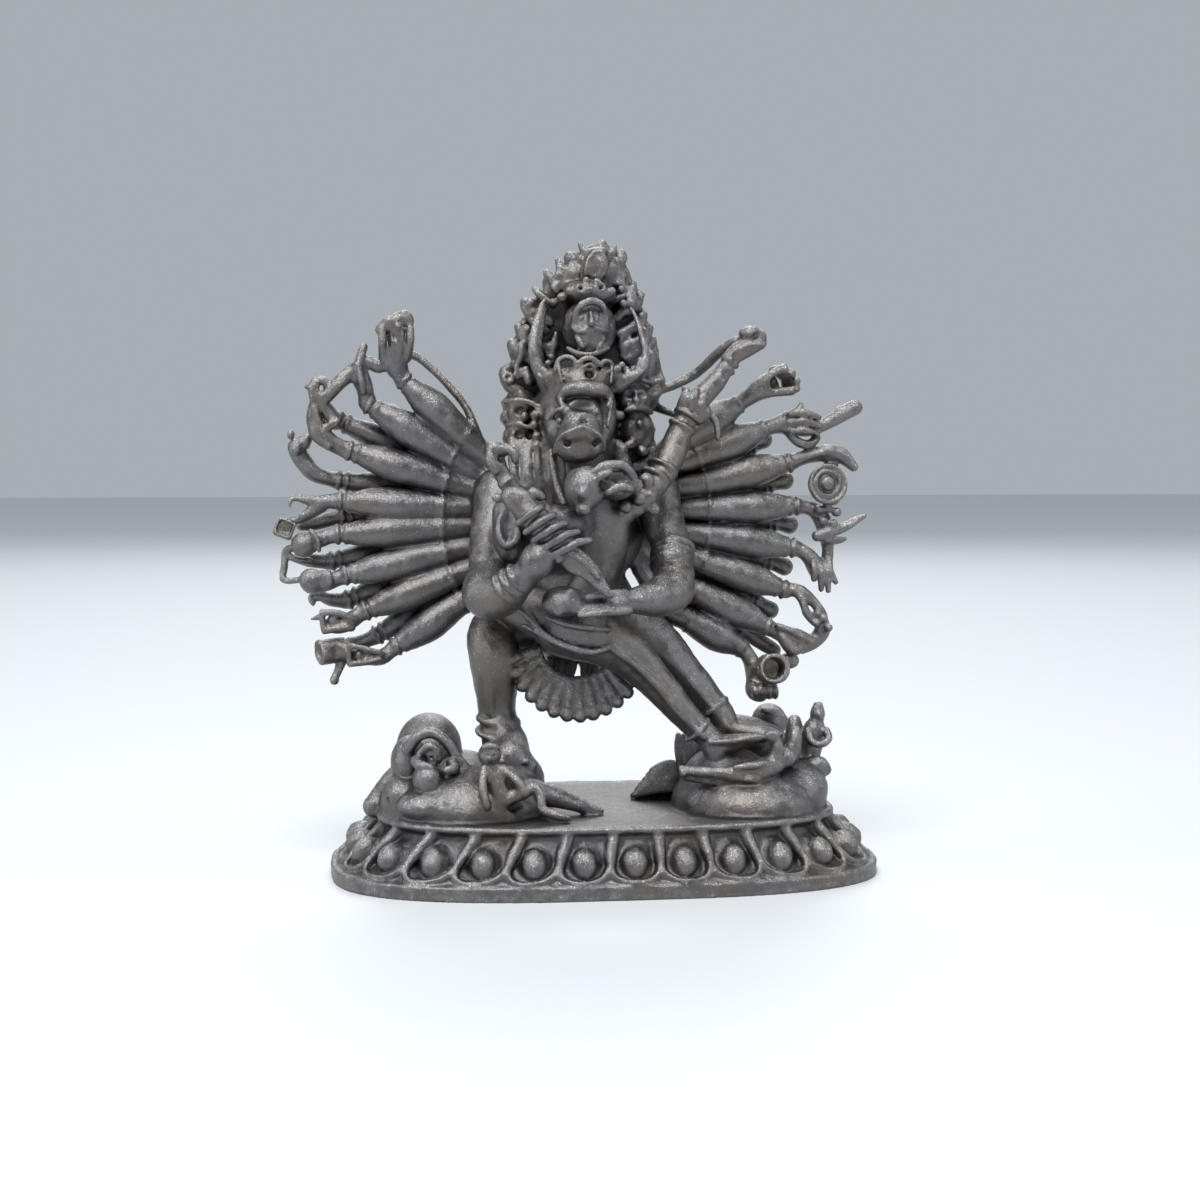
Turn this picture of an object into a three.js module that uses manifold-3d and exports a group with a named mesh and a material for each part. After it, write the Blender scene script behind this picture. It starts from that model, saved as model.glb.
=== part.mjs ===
import * as THREE from 'three';
import { mergeVertices } from 'three/addons/utils/BufferGeometryUtils.js';
import Module from 'manifold-3d';

// Small cast metal statue of a many-armed, buffalo-headed deity embracing a consort, on a lotus base.
// Millimetres, +Z up, the front looks toward -Y, the origin is in the middle of the underside.

const wasm = await Module();
wasm.setup();

// lotus base
const BASE_HEIGHT = 5.2;
const BASE_HALF_LENGTH = 21.6;
const BASE_HALF_DEPTH = 13.1;
const TOP_HALF_LENGTH = 17.8;
const TOP_HALF_DEPTH = 11.3;
const BASE_ROUNDNESS = 2.9;
const BASE_SIDES = 40;
const PETAL_COUNT = 28;
const PETAL_PHASE = 0.19;
const PETAL_SIZE = [1.35, 1.05, 1.75];
// height, and the share of the way in from the foot's outline to the top's
const BASE_PROFILE = [[0, 0], [0.95, 0.02], [1.25, 0.2], [4.5, 1.12], [4.8, 0.97], [BASE_HEIGHT, 1.0]];

// body
const BODY_X = -2.4;
const CHEST_HEIGHT = 27.0;
const WAIST_HEIGHT = 21.6;
const HIP_HEIGHT = 19.4;

// fans of arms: each row is root height, wrist x, wrist height, then the hand as steps from the wrist
const FRONT_ROW_Y = 1.0;
const REAR_ROW_Y = 2.7;
const LEFT_FAN = { hubX: -5.6, hubHeight: 27.4, rootX: -8.4 };
const RIGHT_FAN = { hubX: 1.0, hubHeight: 27.6, rootX: 4.8 };
const ARM_SWELL = 1.38;
const REAR_SWELL = 1.15;
const WRIST_RADIUS = 0.66;
const LEFT_FRONT_ARMS = [
  [32.0, -15.7, 38.8, [[-0.2, 1.6, 1.0], [-0.4, 3.6, 1.1], [-0.1, 5.3, 1.15]]],
  [30.6, -18.5, 36.9, [[-0.5, 1.6, 0.95], [-0.6, 3.2, 0.8], [-0.3, 4.5, 0.4]]],
  [29.6, -20.1, 33.3, [[-1.2, 0.5, 0.8], [-2.0, 1.7, 0.85], [-2.3, 3.6, 0.45]]],
  [28.6, -20.9, 29.3, [[-1.8, -0.6, 0.75], [-2.7, -1.4, 0.7], [-3.3, -1.8, 0.6]]],
  [27.4, -21.1, 26.7, [[-1.4, -0.4, 0.9], [-2.3, -0.6, 1.15], [-3.0, -0.4, 0.7]]],
  [26.2, -20.5, 23.4, [[-1.3, -0.5, 0.85], [-2.3, -0.5, 1.25], [-3.0, 0.1, 0.7]]],
  [24.8, -18.9, 20.6, [[-1.2, -0.8, 0.85], [-2.2, -0.9, 1.1], [-2.9, -0.2, 0.6]]],
  [23.2, -16.5, 17.7, [[-1.3, -0.7, 0.8], [-2.6, -0.5, 0.95], [-3.2, 0.1, 0.9]]],
];
const LEFT_REAR_ARMS = [
  [31.2, -15.9, 35.6, [[-0.6, 0.6, 0.8]]],
  [30.2, -20.9, 35.7, [[-1.0, 1.6, 0.75], [-1.5, 2.7, 0.75], [-2.4, 2.8, 0.35]]],
  [29.4, -20.9, 30.9, [[-1.8, 0.6, 0.75], [-2.7, 1.9, 0.8], [-3.5, 3.8, 0.35]]],
  [28.2, -20.6, 28.0, [[-1.8, -0.4, 0.7], [-3.0, -0.8, 0.6]]],
  [26.8, -21.5, 24.5, [[-1.3, 0.1, 0.7], [-2.6, 0.6, 0.6]]],
  [25.6, -20.2, 21.4, [[-1.2, 0.1, 0.7], [-1.9, 0.5, 0.5]]],
  [24.2, -17.9, 18.5, [[-1.2, -0.5, 0.7], [-2.0, -0.5, 0.6]]],
];
const RIGHT_FRONT_ARMS = [
  [33.0, 11.1, 37.0, [[1.2, 0.8, 0.95], [2.5, 1.6, 1.4], [3.6, 2.0, 1.3]]],
  [31.6, 13.3, 35.0, [[1.0, 0.3, 0.85], [2.1, 0.4, 1.25], [3.4, 0.1, 0.9]]],
  [29.9, 15.4, 32.3, [[1.2, 0.6, 0.75], [2.6, 0.7, 0.85], [3.8, 0.3, 0.7]]],
  [28.5, 16.1, 28.8, [[1.2, -0.3, 0.75], [2.1, -1.3, 0.85], [2.5, -2.7, 0.75]]],
  [27.0, 15.8, 25.4, [[1.2, -0.5, 0.8], [2.2, -1.7, 0.95], [2.5, -3.1, 0.75]]],
  [25.6, 15.0, 22.0, [[1.3, -0.3, 0.8], [2.3, -1.6, 0.9], [2.8, -3.2, 0.8]]],
  [23.4, 13.6, 19.0, [[1.2, -0.6, 0.8], [2.6, -1.1, 0.95], [3.2, -1.8, 0.7]]],
  [20.9, 11.5, 17.3, [[0.5, -1.0, 0.75], [0.9, -2.3, 1.1], [0.9, -3.4, 0.9]]],
];
const RIGHT_REAR_ARMS = [
  [32.2, 9.9, 35.6, [[0.6, 0.7, 0.8]]],
  [30.8, 12.6, 33.7, [[0.8, 0.4, 0.8]]],
  [29.2, 14.2, 30.6, [[1.0, 0.2, 0.8]]],
  [27.8, 14.6, 27.4, [[1.0, -0.2, 0.8]]],
  [26.4, 14.2, 24.2, [[1.0, -0.4, 0.8]]],
  [24.8, 13.0, 20.9, [[1.0, -0.6, 0.8]]],
  [22.4, 11.8, 18.7, [[1.2, -0.8, 0.75], [2.6, -1.7, 0.8]]],
];

// flame-edged hair behind the stacked heads
const HALO_FOOT = [-1.9, 32.6];
const HALO_TIP = [-0.5, 49.0];
const HALO_TEETH = 11;
const HALO_TOOTH = 0.75;
const HALO_DEPTH = [0.4, 2.2];
// height above the foot as a share, and half width there
const HALO_WIDTHS = [[0, 4.9], [0.18, 5.3], [0.36, 6.1], [0.5, 5.7], [0.62, 4.8], [0.75, 4.1], [0.9, 2.6], [1, 0.9]];

// garland of heads hanging below the hips
const GARLAND_CENTRE = [-2.4, 18.6];
const GARLAND_INNER = [3.3, 3.3];
const GARLAND_OUTER = [5.4, 6.0];
const GARLAND_HEADS = 14;
const GARLAND_ARC = [-166, -22];

// the joined surface is thinned to this many triangles
const TRIANGLE_BUDGET = 9800;

const METAL = new THREE.MeshStandardMaterial({ color: 0x4b4845, roughness: 0.42, metalness: 0.9 });

/** Makes a closed three.js geometry into a solid that can be joined and cut. */
function solidOf(geometry) {
  const bare = geometry.clone();
  bare.deleteAttribute('normal');
  bare.deleteAttribute('uv');
  const closed = mergeVertices(bare, 1e-4);
  return new wasm.Manifold(new wasm.Mesh({
    numProp: 3,
    vertProperties: new Float32Array(closed.getAttribute('position').array),
    triVerts: new Uint32Array(closed.getIndex().array),
  }));
}

/** Closed solid through a stack of rings that all have the same number of points. */
function loft(rings) {
  const sides = rings[0].length;
  const positions = rings.flat().flatMap((point) => [point.x, point.y, point.z]);
  const faces = [];
  for (let ring = 0; ring < rings.length - 1; ring += 1) {
    for (let side = 0; side < sides; side += 1) {
      const next = (side + 1) % sides;
      const a = ring * sides + side;
      const b = ring * sides + next;
      const c = a + sides;
      const d = b + sides;
      faces.push(a, b, d, a, d, c);
    }
  }
  const last = (rings.length - 1) * sides;
  for (let side = 1; side < sides - 1; side += 1) {
    faces.push(0, side + 1, side);
    faces.push(last, last + side, last + side + 1);
  }
  const geometry = new THREE.BufferGeometry();
  geometry.setAttribute('position', new THREE.Float32BufferAttribute(positions, 3));
  geometry.setIndex(faces);
  return solidOf(geometry);
}

/** Round limb along a path of [x, y, z, radius] stations; flat below 1 thins it from front to back. */
function limb(stations, sides = 6, flat = 1) {
  const points = stations.map(([x, y, z]) => new THREE.Vector3(x, y, z));
  const rings = points.map((point, index) => {
    const before = points[Math.max(index - 1, 0)];
    const after = points[Math.min(index + 1, points.length - 1)];
    const along = after.clone().sub(before).normalize();
    const reference = Math.abs(along.y) > 0.85 ? new THREE.Vector3(0, 0, 1) : new THREE.Vector3(0, -1, 0);
    const across = new THREE.Vector3().crossVectors(reference, along).normalize();
    const outward = new THREE.Vector3().crossVectors(along, across);
    const radius = stations[index][3];
    const ring = [];
    for (let side = 0; side < sides; side += 1) {
      const angle = (2 * Math.PI * (side + 0.5)) / sides;
      ring.push(point.clone()
        .addScaledVector(across, radius * Math.cos(angle))
        .addScaledVector(outward, radius * flat * Math.sin(angle)));
    }
    return ring;
  });
  return loft(rings);
}

/** Rounded lump with its own three radii, turned in degrees about x, y and z. */
function lump(centre, radii, turn = [0, 0, 0], sides = 8, rings = 5) {
  const geometry = new THREE.SphereGeometry(1, sides, rings);
  geometry.rotateX(Math.PI / 2);
  geometry.scale(...radii);
  const angles = turn.map((degrees) => THREE.MathUtils.degToRad(degrees));
  geometry.applyMatrix4(new THREE.Matrix4().makeRotationFromEuler(new THREE.Euler(...angles)));
  geometry.translate(...centre);
  return solidOf(geometry);
}

/** Small round bead. */
function bead(centre, radius, stretch = [1, 1, 1]) {
  const geometry = new THREE.IcosahedronGeometry(radius, 0);
  geometry.scale(...stretch);
  geometry.translate(...centre);
  return solidOf(geometry);
}

/** Flat plate: an outline of [x, z] points in the upright plane, between two depths. */
function uprightPlate(outline, front, back) {
  const shape = new THREE.Shape(outline.map(([x, z]) => new THREE.Vector2(x, z)));
  const geometry = new THREE.ExtrudeGeometry(shape, { depth: back - front, bevelEnabled: false });
  geometry.rotateX(Math.PI / 2);
  geometry.translate(0, back, 0);
  return solidOf(geometry);
}

/** Short closed cylinder with a chosen direction for its axis. */
function drum(centre, radius, length, direction, sides = 10) {
  const geometry = new THREE.CylinderGeometry(radius, radius, length, sides);
  const turn = new THREE.Quaternion().setFromUnitVectors(
    new THREE.Vector3(0, 1, 0),
    new THREE.Vector3(...direction).normalize(),
  );
  geometry.applyQuaternion(turn);
  geometry.translate(...centre);
  return solidOf(geometry);
}

/** Straight-line reading of a table of [position, value] pairs. */
function readTable(table, position) {
  for (let row = 1; row < table.length; row += 1) {
    const [start, low] = table[row - 1];
    const [end, high] = table[row];
    if (position <= end) return low + ((high - low) * (position - start)) / (end - start);
  }
  return table[table.length - 1][1];
}

/** Point of the base's outline in a direction; share 0 is the foot and 1 the top's edge. */
function outlinePoint(angle, share, height) {
  const halfLength = BASE_HALF_LENGTH + (TOP_HALF_LENGTH - BASE_HALF_LENGTH) * share;
  const halfDepth = BASE_HALF_DEPTH + (TOP_HALF_DEPTH - BASE_HALF_DEPTH) * share;
  const power = 2 / BASE_ROUNDNESS;
  const x = halfLength * Math.sign(Math.cos(angle)) * Math.abs(Math.cos(angle)) ** power;
  const y = halfDepth * Math.sign(Math.sin(angle)) * Math.abs(Math.sin(angle)) ** power;
  return new THREE.Vector3(x, y, height);
}

/** Directions that space points evenly along the base's outline. */
function evenDirections(count, start) {
  const steps = 720;
  const lengths = [0];
  for (let step = 1; step <= steps; step += 1) {
    const before = outlinePoint((2 * Math.PI * (step - 1)) / steps, 0.5, 0);
    const after = outlinePoint((2 * Math.PI * step) / steps, 0.5, 0);
    lengths.push(lengths[step - 1] + before.distanceTo(after));
  }
  const directions = [];
  for (let index = 0; index < count; index += 1) {
    const target = (lengths[steps] * (index + start)) / count;
    const step = lengths.findIndex((length) => length >= target);
    directions.push((2 * Math.PI * step) / steps);
  }
  return directions;
}

/** Lotus base: foot, sloping side, top rim and the row of swollen petals round it. */
function lotusBase() {
  const directions = evenDirections(BASE_SIDES, 0);
  const rings = BASE_PROFILE.map(([height, share]) => directions.map((angle) => outlinePoint(angle, share, height)));
  const parts = [loft(rings)];
  for (const angle of evenDirections(PETAL_COUNT, PETAL_PHASE)) {
    const low = outlinePoint(angle, 0.2, 1.25);
    const high = outlinePoint(angle, 1.0, 4.5);
    const rise = high.clone().sub(low).normalize();
    const beside = outlinePoint(angle + 0.02, 0.5, 0).sub(outlinePoint(angle - 0.02, 0.5, 0)).normalize();
    const outward = new THREE.Vector3().crossVectors(beside, rise).normalize();
    const geometry = new THREE.SphereGeometry(1, 6, 4);
    geometry.rotateX(Math.PI / 2);
    geometry.scale(...PETAL_SIZE);
    geometry.applyMatrix4(new THREE.Matrix4().makeBasis(beside, outward.clone().negate(), rise));
    const seat = low.clone().lerp(high, 0.44).addScaledVector(outward, 0.05);
    geometry.translate(seat.x, seat.y, seat.z);
    parts.push(solidOf(geometry));
  }
  return parts;
}

/** One arm of a fan, from behind the shoulder to the fingertips. */
function fanArm([rootHeight, wristX, wristHeight, hand], fan, depth, swell, sides) {
  const lengthX = wristX - fan.rootX;
  const lengthZ = wristHeight - rootHeight;
  const station = (share, radius) => [fan.rootX + lengthX * share, depth, rootHeight + lengthZ * share, radius];
  const arm = [[fan.hubX, depth - 0.7, fan.hubHeight, 0.6], station(0, 0.8), station(0.6, swell), station(1, WRIST_RADIUS)];
  for (const [stepX, stepZ, radius] of hand) {
    arm.push([wristX + stepX, depth - 0.2, wristHeight + stepZ, radius]);
  }
  return limb(arm, sides);
}

/** Both rows of both fans of arms. */
function fans() {
  return [
    ...LEFT_FRONT_ARMS.map((arm) => fanArm(arm, LEFT_FAN, FRONT_ROW_Y, ARM_SWELL, 6)),
    ...LEFT_REAR_ARMS.map((arm) => fanArm(arm, LEFT_FAN, REAR_ROW_Y, REAR_SWELL, 5)),
    ...RIGHT_FRONT_ARMS.map((arm) => fanArm(arm, RIGHT_FAN, FRONT_ROW_Y, ARM_SWELL, 6)),
    ...RIGHT_REAR_ARMS.map((arm) => fanArm(arm, RIGHT_FAN, REAR_ROW_Y, REAR_SWELL, 5)),
  ];
}

/** What the hands of the left fan hold. */
function leftAttributes() {
  return [
    limb([[-18.3, 0.8, 40.2, 0.55], [-17.2, 0.8, 40.2, 0.6], [-16.4, 0.8, 40.6, 0.5]], 5),
    limb([[-19.2, 0.6, 38.9, 0.62], [-20.6, 0.4, 38.2, 0.6], [-21.9, 0.4, 37.0, 0.55]], 5),
    limb([[-22.3, 2.4, 38.3, 0.5], [-22.7, 2.0, 36.6, 0.6], [-22.3, 1.4, 34.9, 0.5]], 5),
    limb([[-22.6, 1.0, 29.1, 0.5], [-23.9, 0.8, 29.7, 0.35], [-24.4, 0.8, 29.1, 0.2]], 4),
    lump([-24.7, 0.6, 27.3], [0.75, 0.7, 1.1], [0, 20, 0], 6, 4),
    limb([[-24.0, 2.5, 25.1, 0.32], [-25.0, 2.3, 24.6, 0.32], [-24.6, 2.3, 22.9, 0.32], [-23.2, 2.0, 23.1, 0.32]], 4),
    bead([-22.4, 2.4, 21.9], 0.55),
    drum([-20.7, 0.8, 17.8], 1.0, 2.2, [1, 0, 0.1], 8),
    limb([[-20.9, 0.8, 17.2, 0.45], [-21.2, 0.8, 15.5, 0.4]], 5),
    lump([-21.4, 0.4, 19.9], [0.95, 0.8, 0.95], [0, 45, 0], 6, 4),
  ];
}

/** What the hands of the right fan hold. */
function rightAttributes() {
  const cup = drum([13.5, -0.9, 15.9], 1.2, 2.4, [0.1, -1, 0.1], 10)
    .subtract(drum([13.42, -2.0, 15.98], 0.85, 1.8, [0.1, -1, 0.1], 8));
  return [
    limb([[15.0, 0.8, 35.1, 0.6], [17.4, 0.8, 35.2, 0.5], [19.4, 0.8, 36.1, 0.72], [20.9, 0.8, 36.9, 0.62]], 6),
    drum([18.1, -0.5, 30.6], 1.65, 0.9, [0.1, -1, 0.05], 12),
    lump([18.1, -1.0, 30.6], [0.8, 0.35, 0.8], [0, 0, 0], 6, 4),
    limb([[18.6, 0.6, 32.4, 0.7], [19.6, 0.4, 32.5, 0.7], [20.6, 0.4, 31.6, 0.45]], 5),
    limb([[17.3, 0.2, 26.6, 0.55], [19.3, 0.2, 26.9, 0.5], [21.2, 0.2, 28.1, 0.32]], 5),
    limb([[18.3, 0.6, 26.3, 0.55], [19.5, 0.6, 26.1, 0.4]], 5),
    limb([[17.8, 0.8, 27.6, 0.55], [18.5, 0.4, 30.2, 0.5]], 5),
    limb([[18.3, 0.8, 23.0, 0.5], [19.3, 0.6, 22.6, 0.35]], 5),
    limb([[17.6, 0.8, 19.9, 0.75], [17.9, 0.8, 18.4, 0.8], [16.9, 1.0, 17.1, 0.9], [15.8, 1.0, 16.6, 0.7]], 6),
    cup,
    limb([[13.2, 0.0, 15.7, 0.9], [12.5, 0.4, 14.2, 0.9]], 6),
  ];
}

/** The loops of scarf that run from the shoulders to the highest hands. */
function scarves() {
  return [
    limb([[-16.0, 1.4, 41.0, 0.36], [-14.0, 1.6, 40.3, 0.36], [-12.3, 1.6, 38.6, 0.36], [-10.7, 1.4, 36.6, 0.36],
      [-9.8, 1.0, 34.4, 0.36], [-8.9, 0.6, 32.2, 0.36]], 5),
    limb([[4.4, 1.2, 38.0, 0.38], [7.5, 0.8, 39.3, 0.38], [9.7, -1.6, 41.4, 0.38]], 5),
    limb([[3.9, 1.0, 37.0, 0.34], [5.6, -1.6, 36.0, 0.34]], 5),
  ];
}

/** Trunk, shoulders and hips of the large figure. */
function trunk() {
  return [
    lump([BODY_X, 0.5, CHEST_HEIGHT], [5.7, 3.5, 5.0], [0, 0, 0], 12, 7),
    lump([-8.0, 0.3, 29.2], [2.3, 2.3, 2.7], [0, -20, 0]),
    lump([3.9, 0.1, 29.5], [2.2, 2.2, 2.5], [0, 20, 0]),
    limb([[BODY_X, 0.6, 29.5, 4.2], [BODY_X, -0.4, 32.6, 3.5], [BODY_X, -1.0, 36.0, 3.4]], 8, 0.9),
    lump([-2.5, 0.4, WAIST_HEIGHT], [4.9, 3.3, 3.4], [0, 0, 0], 10, 6),
    lump([-3.2, 0.1, HIP_HEIGHT], [5.7, 3.3, 2.5], [0, 6, 0], 10, 6),
    limb([[-7.0, -0.4, 34.4, 0.9], [-6.9, -1.9, 30.6, 0.9], [-6.2, -2.4, 26.6, 0.9]], 5),
    limb([[-5.0, -2.4, 34.2, 0.7], [-4.5, -3.0, 29.6, 0.7]], 5),
    limb([[1.0, -1.8, 33.6, 0.8], [1.8, -2.2, 29.6, 0.8]], 5),
  ];
}

/** The two large arms that come forward round the consort, with what they hold. */
function mainArms() {
  const left = limb([[-8.3, 0.0, 29.4, 1.9], [-9.2, -1.8, 26.4, 1.65], [-9.4, -4.2, 23.6, 1.5],
    [-9.4, -6.3, 22.2, 2.0], [-8.3, -8.4, 22.6, 1.6], [-7.2, -10.0, 24.2, 1.15], [-6.3, -10.6, 25.6, 1.0]], 8);
  const heel = lump([-6.2, -10.6, 25.7], [1.35, 1.35, 1.75], [0, 30, 0], 8, 6);
  const fist = limb([[-8.5, -10.6, 29.6, 0.55], [-7.4, -11.0, 28.8, 1.2], [-5.5, -11.2, 27.3, 1.25],
    [-4.4, -11.0, 26.3, 0.8]], 8);
  const fingers = [];
  for (let finger = 0; finger < 4; finger += 1) {
    const x = -7.55 + finger * 0.86;
    const z = 28.75 - finger * 0.62;
    fingers.push(limb([[x - 0.85, -11.5, z - 0.95, 0.4], [x + 0.1, -12.3, z + 0.15, 0.42],
      [x + 0.95, -11.5, z + 1.05, 0.36]], 5));
  }
  const blade = limb([[-5.0, -11.2, 26.6, 0.5], [-3.6, -11.2, 25.2, 1.15], [-2.3, -11.1, 24.2, 0.85],
    [-0.9, -10.7, 22.9, 0.35]], 6, 0.5);
  const right = limb([[4.1, 0.0, 29.6, 1.9], [4.7, -2.0, 27.0, 1.65], [4.9, -4.4, 24.6, 1.55],
    [4.2, -6.6, 22.5, 1.85], [2.3, -8.2, 22.0, 1.5], [0.2, -9.2, 22.0, 0.95], [-1.5, -9.7, 21.9, 0.95],
    [-3.6, -10.2, 21.5, 0.5]], 8);
  const thumb = limb([[-0.4, -9.6, 22.4, 0.5], [-2.4, -10.1, 22.6, 0.4]], 5);
  const bowl = lump([-4.2, -8.9, 22.0], [1.7, 1.7, 1.15], [0, 0, 0], 8, 5);
  return [left, heel, fist, ...fingers, blade, right, thumb, bowl];
}

/** The consort, seen from the back, pressed to the front of the large figure. */
function consort() {
  return [
    lump([-2.7, -5.0, 19.8], [3.3, 2.6, 2.6], [0, 0, 0], 8, 6),
    limb([[-2.3, -4.9, 20.4, 2.3], [-0.9, -5.6, 24.4, 1.9], [-0.8, -6.4, 27.4, 2.1], [-1.2, -7.6, 29.4, 1.2]], 8, 0.85),
    lump([-2.5, -8.6, 30.5], [1.8, 1.9, 1.9], [0, 0, 0], 8, 6),
    lump([-0.3, -8.3, 31.0], [1.75, 1.7, 1.45], [0, 15, 0], 8, 5),
    bead([-0.9, -9.2, 32.3], 0.6),
    bead([0.9, -8.6, 31.6], 0.65),
    bead([1.4, -7.6, 30.2], 0.85),
    bead([2.5, -6.5, 30.8], 0.85),
    bead([2.6, -6.3, 29.3], 0.8),
    limb([[-0.4, -6.4, 28.0, 1.2], [1.9, -6.0, 29.6, 1.15], [3.6, -4.6, 31.2, 1.15], [4.9, -3.6, 33.8, 1.05],
      [6.0, -3.2, 36.0, 1.0], [7.2, -3.0, 37.4, 0.82], [9.0, -3.0, 39.6, 0.6], [9.9, -3.0, 41.2, 0.7],
      [11.3, -3.0, 42.1, 0.8]], 7),
    lump([11.0, -3.1, 42.3], [0.95, 0.8, 0.7], [0, -20, 0], 6, 4),
    drum([3.6, -4.5, 31.4], 1.3, 0.7, [0.45, 0.35, 0.85], 8),
    drum([6.2, -3.1, 36.2], 1.25, 0.8, [0.55, 0, 0.85], 8),
    limb([[5.9, -3.3, 36.6, 0.7], [5.4, -3.3, 38.1, 0.25]], 4),
    limb([[6.8, -3.3, 36.4, 0.7], [7.7, -3.3, 37.6, 0.25]], 4),
    limb([[-2.0, -6.0, 27.8, 1.1], [-5.4, -6.6, 28.4, 1.0], [-7.8, -7.2, 30.4, 0.85], [-8.9, -7.2, 32.0, 0.75],
      [-9.2, -7.2, 33.2, 1.0], [-8.6, -7.3, 33.9, 0.7]], 6),
    limb([[-3.4, -4.6, 20.2, 2.2], [-6.8, -4.2, 21.2, 1.7], [-8.2, -1.0, 21.6, 1.5]], 6),
    limb([[-7.6, -5.4, 21.4, 0.42], [-5.7, -6.8, 19.3, 0.42], [-3.6, -7.4, 18.1, 0.42], [-1.6, -7.2, 17.8, 0.42],
      [0.6, -6.0, 18.6, 0.42]], 5),
  ];
}

/** Legs and feet of both figures: the bent one at the left, the stretched pair at the right. */
function legs() {
  return [
    limb([[-6.0, 0.4, 20.6, 2.8], [-8.6, -1.6, 19.0, 2.2], [-8.9, -2.2, 17.6, 1.95], [-8.7, -1.6, 15.0, 1.75],
      [-8.6, -1.3, 12.9, 1.5], [-8.3, -1.8, 11.2, 1.75], [-7.9, -2.6, 9.2, 1.9]], 8),
    limb([[-7.9, -2.2, 10.2, 1.7], [-7.8, -4.2, 9.7, 1.5]], 6),
    limb([[0.4, -0.2, 20.0, 2.9], [3.7, -0.6, 18.0, 2.3], [5.9, -0.9, 15.8, 1.85], [7.9, -1.1, 13.5, 1.55],
      [9.2, -1.5, 11.8, 1.4], [9.4, -1.7, 9.4, 1.4]], 8),
    limb([[8.8, -1.6, 11.2, 1.0], [11.8, -2.6, 10.9, 0.8], [13.2, -3.0, 10.9, 0.5]], 6),
    limb([[-1.6, -4.8, 19.4, 2.5], [1.5, -4.4, 17.4, 1.75], [3.7, -4.1, 15.1, 1.42], [6.4, -4.0, 12.1, 1.1],
      [7.9, -4.2, 10.7, 0.95], [8.3, -4.5, 9.6, 0.95]], 8),
    limb([[7.9, -4.4, 10.2, 0.85], [9.6, -5.0, 10.5, 0.75], [11.4, -5.6, 11.0, 0.4]], 6),
  ];
}

/** U-shaped garland of small heads, and the cloth ends behind it. */
function garland() {
  const parts = [];
  for (let head = 0; head < GARLAND_HEADS; head += 1) {
    const share = head / (GARLAND_HEADS - 1);
    const angle = THREE.MathUtils.degToRad(GARLAND_ARC[0] + (GARLAND_ARC[1] - GARLAND_ARC[0]) * share);
    const at = (radii, depth, radius) => [
      GARLAND_CENTRE[0] + radii[0] * Math.cos(angle),
      depth,
      GARLAND_CENTRE[1] + radii[1] * Math.sin(angle),
      radius,
    ];
    parts.push(limb([at(GARLAND_INNER, -2.8, 0.5), at(GARLAND_OUTER, -3.1, 0.68)], 5));
  }
  parts.push(lump([-3.2, 1.5, 16.9], [1.3, 1.0, 2.0], [0, 0, 0], 6, 4));
  parts.push(lump([-0.7, 1.5, 17.0], [1.2, 1.0, 1.9], [0, 0, 0], 6, 4));
  return parts;
}

/** Point of the hair outline: share of the height, and how far out of the centre line. */
function haloPoint(share, out) {
  const x = HALO_FOOT[0] + (HALO_TIP[0] - HALO_FOOT[0]) * share;
  const z = HALO_FOOT[1] + (HALO_TIP[1] - HALO_FOOT[1]) * share;
  return [x + out, z];
}

/** Upswept hair behind the heads, with a flame-toothed edge and a lock on each tooth. */
function flameHair() {
  const sides = { left: [], right: [] };
  const locks = [];
  for (let tooth = 0; tooth < HALO_TEETH; tooth += 1) {
    for (const [name, sign] of [['left', -1], ['right', 1]]) {
      const valley = tooth / HALO_TEETH;
      const peak = (tooth + 0.72) / HALO_TEETH;
      const valleyOut = readTable(HALO_WIDTHS, valley);
      const peakOut = readTable(HALO_WIDTHS, peak) + HALO_TOOTH;
      sides[name].push(haloPoint(valley, sign * valleyOut), haloPoint(peak, sign * peakOut));
      const [rootX, rootZ] = haloPoint(valley + 0.01, sign * (valleyOut - 1.6));
      const [tipX, tipZ] = haloPoint(peak - 0.01, sign * (peakOut - 0.3));
      locks.push(limb([[rootX, 0.0, rootZ, 0.75], [tipX, 0.4, tipZ, 0.4]], 4));
    }
  }
  const outline = [...sides.right, haloPoint(1.0, 0), ...sides.left.reverse()];
  const back = lump([-1.4, 1.9, 40.0], [4.6, 1.7, 8.0], [0, 4, 0], 8, 6);
  return [uprightPlate(outline, ...HALO_DEPTH), back, ...locks];
}

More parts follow.
